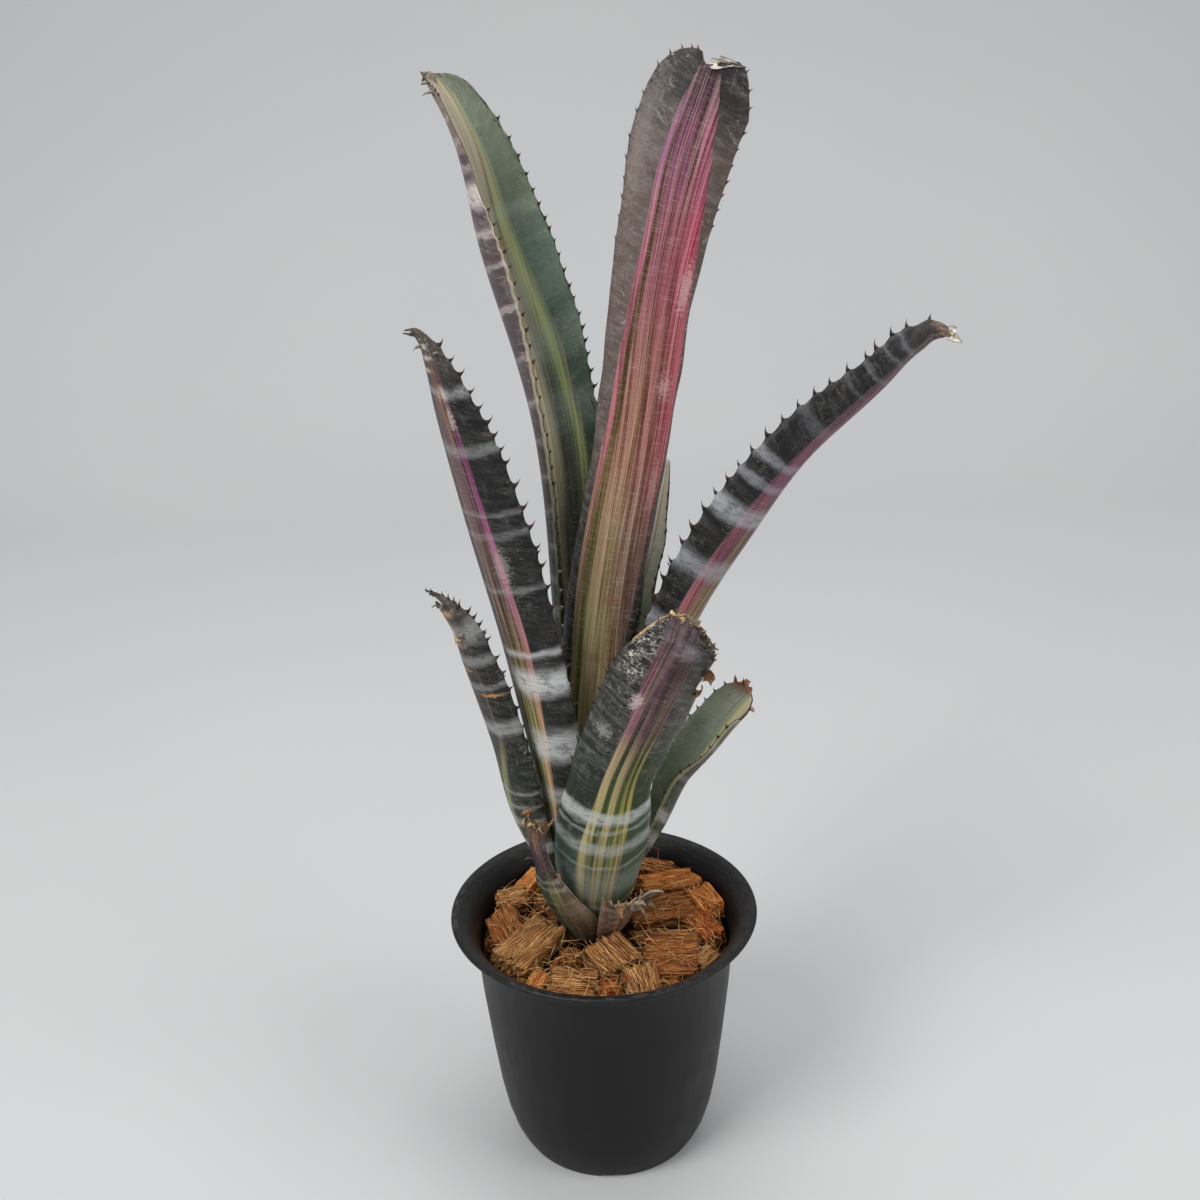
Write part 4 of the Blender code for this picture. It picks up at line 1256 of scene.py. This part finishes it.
front_leaf = Leaf(
    "front_leaf",
    [
        (-5, -0.9, 113, 10.5, 64, -92), (-4, -11, 132, 18.5, 59, -90), (0, -24, 172, 25, 52, -87),
        (8, -36, 222, 22, 50, -85), (21, -44, 256, 23.5, 46, -83), (33, -49, 284, 22.5, 41, -80),
        (38, -50.5, 296, 21.5, 38, -80), (41.3, -51.2, 306, 20.5, 34, -80),
    ],
    seed=5, scallop=0.7, crumple=(0.85, 3.0),
    ends=(
        (-1, 0.86), (-0.81, 0.915), (-0.71, 0.952), (-0.59, 0.98), (-0.5, 0.982), (-0.44, 0.992),
        (-0.3, 0.99), (-0.15, 1.0), (-0.02, 0.995), (0.12, 0.985), (0.3, 0.975), (0.5, 0.955),
        (0.81, 0.927), (1, 0.89),
    ),
    spines=[
        (-1, 0.55, 0.84, 9.5, 2.6, 0.8, 3), (1, 0.58, 0.74, 4.2, 1.8, 0.8, 4),
        (1, 0.8, 0.89, 9, 2.4, 0.8, 5),
    ],
    bites=[(1, 0.83, 11, 5.5)],
    crown=[(-0.62, 2.2, 5), (-0.48, 2.0, 5), (0.9, 2.6, 5)],
    frills=[(-0.55, 0.1, 16, 3.4, 6), (0.1, 0.95, 16, 2.6, 6), (-0.5, 0.9, 12, 2.6, 7)],
    scraps=[(0.97, 0.86, 9, 6, (-0.1, 0.6, 0.7), 160, 7), (0.9, 0.8, 7, 5, (0.1, 0.5, 0.8), 140, 7)],
)
front_back = blade_finish(
    "front_back", front_leaf,
    edges=[
        (0, 0.26, 0.66), (0.28, 0.265, 0.68), (0.4, 0.315, 0.71), (0.55, 0.37, 0.725),
        (0.7, 0.38, 0.72), (0.8, 0.34, 0.71), (0.88, 0.31, 0.71), (0.96, 0.28, 0.67), (1, 0.26, 0.66),
    ],
    tones=[
        (0.25, "0 7c7a58, .03 a69e70, .22 a09870, .26 5a6a4c, .36 566848, .4 a0986c, .56 989064, "
               ".61 586848, .72 58663e, .78 948a58, .84 6a7044, .9 988c58, 1 7a6c48"),
        (0.42, "0 7c7c54, .03 b4ac74, .2 b0a872, .24 3a4c24, .36 3e5026, .39 b0a66e, .53 a89e6a, "
               ".57 3a4a20, .68 46561f, .72 a8a454, .78 6c7428, .84 3c4a18, .88 a8a056, .96 aca058, "
               "1 6c6430"),
        (0.6, "0 66624e, .03 ae9874, .22 a6946c, .26 2e3c1a, .38 33401c, .42 a49270, .58 988862, "
              ".62 2c381a, .74 35401c, .79 888a3e, .84 3a3e14, .9 3c4016, .94 8e8c46, 1 5c5a2e"),
        (0.71, "0 463538, .03 784c5d, .24 744a53, .3 352c23, .4 352e23, .44 664553, .6 5f414c, "
               ".66 2c2920, .76 4f4330, .84 513f31, .92 3c2e23, 1 5a3e37"),
        (0.85, "0 3c272e, .03 5d3143, .2 5c3343, .26 312725, .36 4d2e3c, .5 4c303e, .56 2c2523, "
               ".68 462e29, .78 3e312c, .88 4d333c, 1 312a2a"),
        (0.95, "0 43383c, .15 5c4d54, .3 3c3338, .45 63545c, .6 43383c, .75 5d5156, 1 353131"),
    ],
    left_edge="0 404035, .12 546358, .3 44564e, .4 262f24, .55 22291f, .7 262922, .9 282724, 1 242220",
    right_edge="0 44432f, .1 3c4c2e, .2 4c5a44, .38 40503a, .46 2b3a1e, .62 2e361d, .7 3e3e34, "
               ".9 363531, 1 2a2928",
    bands=[
        (0.045, 7, 0.3), (0.13, 1.2, 0.35), (0.2, 11, 0.22), (0.27, 1.0, 0.35), (0.33, 3.6, 0.5),
        (0.425, 3.4, 0.8), (0.385, 1.2, 0.4),
    ],
    lines=0.45, scurf=0.48, felt="c6c8c4", bow=-20.0, bare=(0.44, 0.64),
    flakes=(0.02, 0.36, 0.78, 0.99), dry=(0.985, 1.02, "8a7256", "dcc39a"),
    blots=[
        (0.85, 0.16, 9, 16, "35501f", 0.6), (0.14, 0.22, 9, 14, "38502a", 0.5),
        (0.6, 0.92, 14, 10, "8c8088", 0.45), (0.36, 0.765, 6, 9, "c8b4b4", 0.75),
        (0.2, 0.66, 9, 8, "a8a8a0", 0.5), (0.9, 0.87, 7, 12, "2a2826", 0.8),
        (0.93, 0.945, 8, 10, "d8b890", 0.8),
    ],
)
front_face = blade_finish(
    "front_face", front_leaf,
    edges=[(0, 0.3, 0.7), (0.6, 0.3, 0.7), (1, 0.3, 0.7)],
    tones=[(0.3, "0 5a6a3c, .5 8c945c, 1 4c5c34"), (0.8, "0 5a6a44, .6 949864, 1 54643e")],
    left_edge="0 26321f, .6 3c4c38, 1 4a4a40",
    dry=(0.95, 1.0, "7a6244", "c8a888"),
)
front_piece = front_leaf.build(
    [
        front_back, front_face, rim_tan, spine_dark, spine_pale, spine_red, scrap_tan, scrap_brown,
    ],
    thickness=1.3,
)
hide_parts("leaf_front_short")

# ------------ the low leaf on the right
# A short channelled leaf on the right of the stem, sage green inside with a yellow stripe by the
# near margin, and a dried, spined tip of a red-brown.

right_low_leaf = Leaf(
    "right_low_leaf",
    [
        (2.9, 8.7, 118, 8, 55, 5), (13, 10, 137, 13, 60, 5), (31, 20, 163, 16, 70, 8),
        (44, 28, 186, 20, 70, 10), (60, 31, 206, 19, 66, 14), (70, 33, 218, 16.5, 60, 16),
        (75, 33.5, 224, 12, 52, 18), (77, 33.5, 227, 8, 46, 18),
    ],
    seed=6, scallop=0.6,
    ends=((-1, 0.9), (-0.41, 0.94), (-0.16, 0.972), (0.35, 0.99), (0.8, 1.0), (1, 0.985)),
    spines=[(1, 0.35, 0.95, 5.5, 2.1, 0.7, 3), (-1, 0.3, 0.9, 6.0, 2.9, 0.7, 3)],
    crown=[(0.3, 2.2, 4), (0.9, 3.4, 4)],
    scraps=[
        (0.75, 0.985, 8, 4, (0.5, 0.1, 1.0), -50, 5), (0.5, 0.98, 6, 4, (0.6, 0.2, 0.7), 70, 5),
        (0.95, 0.97, 5, 2, (0.5, 0.6, 0.4), 30, 4), (-0.3, 0.95, 4, 3, (0.6, 0.3, 0.6), 120, 5),
    ],
)
right_low_face = blade_finish(
    "right_low_face", right_low_leaf,
    edges=[
        (0, 0.5, 0.7), (0.45, 0.36, 0.56), (0.6, 0.36, 0.56), (0.8, 0.34, 0.62), (0.93, 0.3, 0.64),
        (1, 0.3, 0.6),
    ],
    tones=[
        (0.4, "0 4c5440, .3 707850, .5 a8a870, .8 58684a, 1 566a4c"),
        (0.6, "0 5c6448, .2 9aa068, .55 a8ac78, .75 7c8a68, 1 647a5e"),
        (0.8, "0 98906c, .2 bcb88e, .55 c0bc94, .8 98a480, 1 78907a"),
    ],
    left_edge="0 34382a, .5 4a4e3e, .8 7a7660, 1 9a8c78",
    right_edge="0 3c4630, .25 4a5c3c, .45 566648, .6 76866c, .8 8e9a86, .93 989a88, .97 84705e, 1 7a5a48",
    bands=[(0.16, 3, 0.5), (0.31, 3, 0.35), (0.66, 5, 0.2)],
    lines=0.45, scurf=0.4, roughness=0.5, dry=(0.95, 1.0, "7c5240", "b89880"),
    blots=[(0.9, 0.78, 10, 14, "5a6654", 0.5), (0.7, 0.52, 12, 16, "4c5a44", 0.4)],
)
right_low_back = blade_finish(
    "right_low_back", right_low_leaf,
    edges=[(0, 0.0, 0.06), (0.4, -0.1, 0.05), (0.8, -0.1, 0.06), (1, -0.1, 0.05)],
    tones=[(0.4, "0 787a58, 1 6c7048"), (0.8, "0 9c9a78, 1 8c8a68")],
    left_edge="0 3a3828, .4 3c4030, .6 3c3c37, .8 4e4a42, 1 7c6c60",
    bands=[
        (0.18, 3.4, 0.5), (0.33, 3.4, 0.6), (0.43, 2.6, 0.7), (0.6, 1.5, 0.3), (0.76, 2.0, 0.4),
        (0.88, 1.4, 0.35),
    ],
    scurf=0.32,
)
right_low_piece = right_low_leaf.build(
    [right_low_back, right_low_face, rim_dark, spine_dark, spine_red, scrap_brown]
)
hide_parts("leaf_right_low")

# ------------ the low leaf on the left
# An old leaf on the left of the stem that withers from the tip: a forked grey-brown end, white
# felt with orange cracks across it, and dark green lower down with pale rings.

left_low_leaf = Leaf(
    "left_low_leaf",
    [
        (-12.3, 5, 118, 8, 55, -158), (-23.6, 3.4, 140, 14, 52, -162), (-38.6, -3, 177, 18, 62, -151),
        (-47, -9.5, 226, 17, 60, -144), (-56, -13.5, 266, 14.5, 58, -138),
        (-63, -15, 291, 9.5, 52, -136), (-69.5, -15, 301.5, 5.5, 44, -136),
        (-75, -15, 305.5, 2.5, 40, -136),
    ],
    seed=7, scallop=0.8,
    ends=(
        (-1, 0.9), (-0.82, 0.92), (-0.3, 0.965), (0.0, 0.94), (0.2, 0.95), (0.45, 1.0), (0.7, 0.985),
        (0.8, 0.955), (1, 0.93),
    ),
    spines=[
        (1, 0.42, 0.86, 8.8, 2.5, 0.8, 3), (1, 0.865, 0.93, 3.6, 3.0, 0.8, 3),
        (-1, 0.4, 0.92, 9.5, 2.2, 0.8, 3),
    ],
    crown=[(0.98, 4, 3), (0.9, 4, 3), (0.82, 4, 3), (0.77, 3.6, 3), (0.7, 3.6, 3), (0.55, 3.4, 3)],
    scraps=[
        (0.3, 0.95, 4, 3, (0.8, 0.3, 0.6), 110, 4), (0.75, 0.93, 4, 3, (0.9, 0.4, 0.2), -90, 4),
        (0.45, 0.975, 4, 2.5, (1, 0.2, 0.1), 60, 4), (-0.2, 0.945, 4, 3, (0.9, 0.2, -0.4), 140, 4),
        (0.0, 0.865, 3.5, 4, (0.6, 0.1, 0.7), 150, 5), (0.2, 0.875, 3, 4, (0.6, 0.1, 0.7), 130, 4),
    ],
)
left_low_back = blade_finish(
    "left_low_back", left_low_leaf,
    edges=[
        (0, 0.36, 0.56), (0.4, 0.38, 0.56), (0.5, 0.45, 0.62), (0.58, 0.58, 0.7), (0.66, 0.6, 0.66),
        (1, 0.6, 0.64),
    ],
    tones=[
        (0.2, "0 6c6c52, .4 8c8c6c, 1 5c5c40"),
        (0.45, "0 3c4826, .5 8a925c, 1 3a4624"),
        (0.62, "0 36322c, .5 5a564c, 1 282622"),
        (0.85, "0 38302e, 1 2a2524"),
    ],
    left_edge="0 373426, .3 2c3419, .45 252d19, .6 282623, .8 2f2827, 1 4b4442",
    right_edge="0 25221a, .3 252a1a, .45 212719, .6 181916, .8 1c1a18, 1 35302f",
    bands=[
        (0.27, 3.4, 0.55), (0.35, 2.4, 0.5), (0.4, 1.0, 0.35), (0.44, 1.0, 0.35), (0.62, 3.4, 0.45),
        (0.73, 1.5, 0.3), (0.8, 2.5, 0.3), (0.87, 4.5, 0.38),
    ],
    lines=0.4, scurf=0.29, felt="c6c6c4", dry=(0.88, 0.97, "5c5450", "c8beb0"),
    blots=[
        (0.5, 0.925, 14, 4.5, "c09a72", 0.9), (0.36, 0.838, 12, 2.6, "b48454", 0.95),
        (0.38, 0.775, 12, 2.0, "b08858", 0.8), (0.74, 0.712, 16, 1.8, "b88450", 0.95),
        (0.3, 0.872, 8, 6, "c8c0b8", 0.7),
    ],
)
left_low_face = blade_finish(
    "left_low_face", left_low_leaf,
    edges=[(0, 0.4, 0.6), (1, 0.4, 0.6)],
    tones=[(0.3, "0 5a6a3c, 1 6c7848"), (0.8, "0 6a6450, 1 6a6450")],
    left_edge="0 26321f, .5 3c4c38, .8 5e5448, 1 6a625a",
    scurf=0.2, dry=(0.82, 0.93, "7c7068", "b0a08c"),
)
left_low_piece = left_low_leaf.build(
    [left_low_back, left_low_face, rim_dark, spine_dark, scrap_grey, scrap_tan]
)
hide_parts("leaf_left_low")

# ------------ the thin leaf behind
# A young narrow leaf from the back of the stem, which shows between the tall leaf and the
# arching one. It is pale sage at the top.

rear_thin_leaf = Leaf(
    "rear_thin_leaf",
    [
        (-2.3, 13.8, 123, 5, 42, 65), (2.5, 22, 146, 10.5, 46, 62), (11, 35, 204, 13.5, 50, 52),
        (22, 43, 275, 13, 50, 50), (31, 46, 314, 9.5, 45, 45), (35, 47.5, 334, 4.5, 38, 45),
        (36.5, 48, 342, 1.5, 34, 45),
    ],
    seed=8, scallop=0.5,
    spines=[(-1, 0.45, 0.96, 5.5, 3.8, 0.8, 3), (1, 0.45, 0.96, 7.0, 2.4, 0.8, 3)],
)
rear_thin_face = blade_finish(
    "rear_thin_face", rear_thin_leaf,
    edges=[(0, 0.4, 0.6), (0.7, 0.42, 0.6), (1, 0.4, 0.6)],
    tones=[
        (0.5, "0 485440, .5 5c6844, 1 485440"),
        (0.7, "0 848a66, .5 9aa078, 1 7c8464"),
        (0.86, "0 b0b09c, .5 bcb8a6, 1 a6a492"),
    ],
    left_edge="0 262e1e, .5 38442c, .66 6c785a, .84 a0a08c, 1 a89e8e",
    right_edge="0 262e1e, .5 38442c, .66 6c785a, .84 9c9c88, 1 a2988a",
    bands=[(0.3, 4, 0.4), (0.62, 2, 0.3), (0.74, 1.6, 0.3), (0.82, 1.2, 0.3)],
    lines=0.6, scurf=0.6, roughness=0.5,
    blots=[
        (0.75, 0.7, 6, 14, "4c5238", 0.6), (0.7, 0.84, 5, 12, "5c6048", 0.6),
        (0.8, 0.93, 5, 9, "6a6454", 0.6),
    ],
)
rear_thin_back = blade_finish(
    "rear_thin_back", rear_thin_leaf,
    edges=[(0, 0.4, 0.62), (0.7, 0.4, 0.6), (1, 0.45, 0.55)],
    tones=[(0.4, "0 5a4a44, .5 8c6a5c, 1 4a3a36"), (0.8, "0 4a3a3c, .5 84506a, 1 3a2c30")],
    left_edge="0 2a2e24, .5 2b2b28, 1 5a5048",
    bands=[(0.25, 5, 0.6), (0.42, 5, 0.6), (0.58, 4, 0.5), (0.72, 2, 0.4)],
    lines=0.4, scurf=0.25,
)
rear_thin_piece = rear_thin_leaf.build([rear_thin_back, rear_thin_face, rim_dark, spine_dark])
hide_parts("leaf_rear_thin")

# ------------ the withered stub
# The outermost leaf died back long ago: a torn brown top, a narrow purple-brown neck and a green
# foot with a translucent dead patch. Grown from the stem; limp and papery.

stub_leaf = Leaf(
    "stub_leaf",
    [
        (-10.3, -0.5, 107.5, 6.5, 36, -122), (-16, -10, 124, 15, 50, -122),
        (-23, -20, 146, 11, 45, -120), (-28, -25, 168, 5, 40, -118), (-31, -29, 188, 5.5, 40, -115),
        (-30, -32, 200, 8, 35, -115),
    ],
    seed=9, ripple=0.9,
    ends=((-1, 0.9), (-0.6, 1.0), (-0.3, 0.93), (0.1, 0.985), (0.4, 0.92), (0.7, 0.99), (1, 0.94)),
    frills=[(-0.9, 0.9, 6, 5, 4), (-0.9, 0.9, 6, 5, 5)],
    scraps=[(0.9, 0.62, 6, 4, (0.6, 0.5, 0.2), 90, 5), (-0.95, 0.7, 6, 3, (0.8, 0.4, 0.2), 100, 5)],
)
stub_back = blade_finish(
    "stub_back", stub_leaf,
    edges=[(0, 0.42, 0.8), (0.4, 0.42, 0.8), (0.6, 0.5, 0.8), (0.8, 0.4, 0.7), (1, 0.4, 0.7)],
    tones=[
        (0.25, "0 46521f, .2 5c6238, .4 6c6446, .6 6a5a44, 1 6a523c"),
        (0.5, "0 7c8048, .12 3c4c1c, .3 8c8a54, .42 46521f, .6 98905c, .75 4c4c24, 1 7c7450"),
        (0.68, "0 42343a, .5 4e3c42, 1 3c2c32"),
        (0.9, "0 6a5244, .4 8c6c50, 1 5c4434"),
    ],
    left_edge="0 1f2214, .3 28361a, .5 2e3e1e, .6 33302a, .68 35292e, .8 3c2c32, 1 6e5644",
    right_edge="0 4c3a2a, .3 6a5844, .45 6c5c48, .6 463a34, .68 3c2e32, .8 3e2e34, 1 6a5040",
    bands=[(0.52, 1.6, 0.4), (0.58, 1.2, 0.4), (0.42, 0.8, 0.25), (0.34, 0.8, 0.25)],
    lines=0.6, scurf=0.35, roughness=0.6, dry=(0.82, 0.95, "64483a", "c09c74"),
    blots=[(0.8, 0.34, 12, 20, "96806a", 0.7)],
)
stub_piece = stub_leaf.build(
    [stub_back, stub_back, rim_tan, spine_dark, scrap_tan, scrap_brown], thickness=0.8
)
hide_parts("leaf_stub_old")

# ------------ the dry sheath
# The papery foot of a leaf long gone, wrinkled across and split into tan curls at the top.

sheath_leaf = Leaf(
    "sheath_leaf",
    [
        (1.8, 0.7, 107.5, 5, 29, -47), (5.5, -10.5, 122, 9.5, 38, -62), (8.5, -19, 136, 10.8, 42, -72),
        (10, -23.5, 148, 11.0, 40, -75),
    ],
    seed=10, ripple=1.1, crumple=(0.2, 1.0),
    ends=(
        (-1, 1.0), (-0.8, 0.96), (-0.5, 0.9), (-0.1, 0.92), (0.2, 0.9), (0.55, 0.96), (0.8, 0.92),
        (1, 1.0),
    ),
    frills=[(-0.9, 0.6, 6, 3, 4), (-1, 1, 5, 4, 5)],
    scraps=[
        (0.3, 0.9, 10, 6, (0.25, 1, 0.5), 75, 4), (0.7, 0.9, 13, 6, (0.55, 1, 0.1), 45, 4),
        (0.9, 0.86, 9, 5, (-0.2, 1, 0.6), 90, 4), (0.5, 0.92, 9, 5, (1, 0.2, 0.3), 80, 4),
        (-0.1, 0.9, 9, 5, (0.8, 0.6, 0.5), 90, 5), (0.97, 0.6, 9, 3, (0.3, 0.7, 0.5), 130, 4),
    ],
)
sheath_back = blade_finish(
    "sheath_back", sheath_leaf,
    edges=[(0, 0.3, 0.8), (1, 0.3, 0.8)],
    tones=[
        (0.2, "0 7c5040, .4 9c7a5c, .7 8c6850, 1 6c4838"),
        (0.6, "0 84685c, .3 a48a72, .5 8c6c5c, .8 9c7c64, 1 6c4a3c"),
        (0.9, "0 8a7260, .4 b49a80, 1 80604a"),
    ],
    left_edge="0 6a4434, .5 7a5e50, 1 7c6a5c",
    right_edge="0 6c4636, .5 6c4e42, 1 8c7460",
    bands=[(0.35, 1.2, 0.3), (0.48, 0.8, 0.3), (0.6, 1.0, 0.3), (0.7, 0.8, 0.3), (0.8, 1.0, 0.3)],
    lines=0.6, scurf=0.3, roughness=0.7, felt="b09884", dry=(0.86, 0.98, "8a7258", "c8b08c"),
)
sheath_piece = sheath_leaf.build(
    [sheath_back, sheath_back, rim_tan, spine_dark, scrap_husk, scrap_brown], thickness=0.7
)
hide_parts("leaf_sheath_dry")

# ------------ the studio
# A pale floor that curves up into the wall behind, large soft lights, and the camera a little
# above the leaves, looking down into the pot.

FLOOR_WIDTH = 4.0  # metres, as all the studio's sizes
FLOOR_BACK = 0.9
FLOOR_FRONT = -1.6
CURVE_RADIUS = 0.5
CURVE_STEPS = 12
WALL_TOP = 2.4

sweep = bmesh.new()
line = [(FLOOR_FRONT, 0.0), (FLOOR_BACK, 0.0)]
for step in range(1, CURVE_STEPS + 1):
    turn = math.pi / 2 * step / CURVE_STEPS
    line.append((FLOOR_BACK + CURVE_RADIUS * math.sin(turn), CURVE_RADIUS * (1 - math.cos(turn))))
line.append((FLOOR_BACK + CURVE_RADIUS, WALL_TOP))
verts = [sweep.verts.new((-FLOOR_WIDTH / 2, y, z)) for y, z in line]
edges = [sweep.edges.new(pair) for pair in zip(verts, verts[1:])]
made = bmesh.ops.extrude_edge_only(sweep, edges=edges)["geom"]
bmesh.ops.translate(
    sweep, vec=(FLOOR_WIDTH, 0, 0), verts=[item for item in made if isinstance(item, bmesh.types.BMVert)]
)
bmesh.ops.recalc_face_normals(sweep, faces=sweep.faces)
paper = Finish("studio_paper", 0.9, 0.1)
paper.paint(paper.mix(paper.cloud(paper.place(), 2, 0.5, 400), "b6b6b7", "bcbcbb"))
backdrop = add_piece("studio_sweep", sweep, [paper])
backdrop.data.shade_smooth()

scene = bpy.context.scene
scene.view_settings.view_transform = "Standard"
scene.world = bpy.data.worlds.new("studio")
scene.world.use_nodes = True
sky = scene.world.node_tree.nodes["Background"]
sky.inputs["Color"].default_value = (0.93, 0.96, 1.0, 1)
sky.inputs["Strength"].default_value = 0.42


def soft_light(name, place, target, size, watts):
    lamp = bpy.data.lights.new(name, "AREA")
    lamp.shape = "SQUARE"
    lamp.size = size
    lamp.energy = watts
    light = bpy.data.objects.new(name, lamp)
    light.location = place
    light.rotation_euler = (Vector(target) - Vector(place)).to_track_quat("-Z", "Y").to_euler()
    scene.collection.objects.link(light)


soft_light("key_softbox", (-1.0, -1.0, 1.7), (0, 0, 0.25), 0.9, 30)
soft_light("fill_softbox", (1.3, -0.7, 1.2), (0, 0, 0.25), 1.0, 12)
soft_light("top_softbox", (0.1, 0.4, 1.9), (0, 0, 0.2), 1.2, 16)

CAMERA_PLACE = (2.8, -664.4, 576.3)  # mm
CAMERA_PITCH = 23.13  # degrees below the horizon
CAMERA_ROLL = -1.78
FOCAL_LENGTH, SENSOR_WIDTH = 48, 36  # mm
lens = bpy.data.cameras.new("camera")
lens.lens = FOCAL_LENGTH
lens.sensor_width = SENSOR_WIDTH
lens.clip_start = 0.01
camera = bpy.data.objects.new("camera", lens)
ahead = Vector((0, math.cos(math.radians(CAMERA_PITCH)), -math.sin(math.radians(CAMERA_PITCH))))
level = Vector((1, 0, 0))
upright = level.cross(ahead)
roll = math.radians(CAMERA_ROLL)
across = level * math.cos(roll) + upright * math.sin(roll)
above = upright * math.cos(roll) - level * math.sin(roll)
axes = Matrix((across, above, -ahead)).transposed().to_4x4()
camera.matrix_world = Matrix.Translation(Vector(CAMERA_PLACE) * MM) @ axes
scene.collection.objects.link(camera)
scene.camera = camera

bpy.context.view_layer.update()
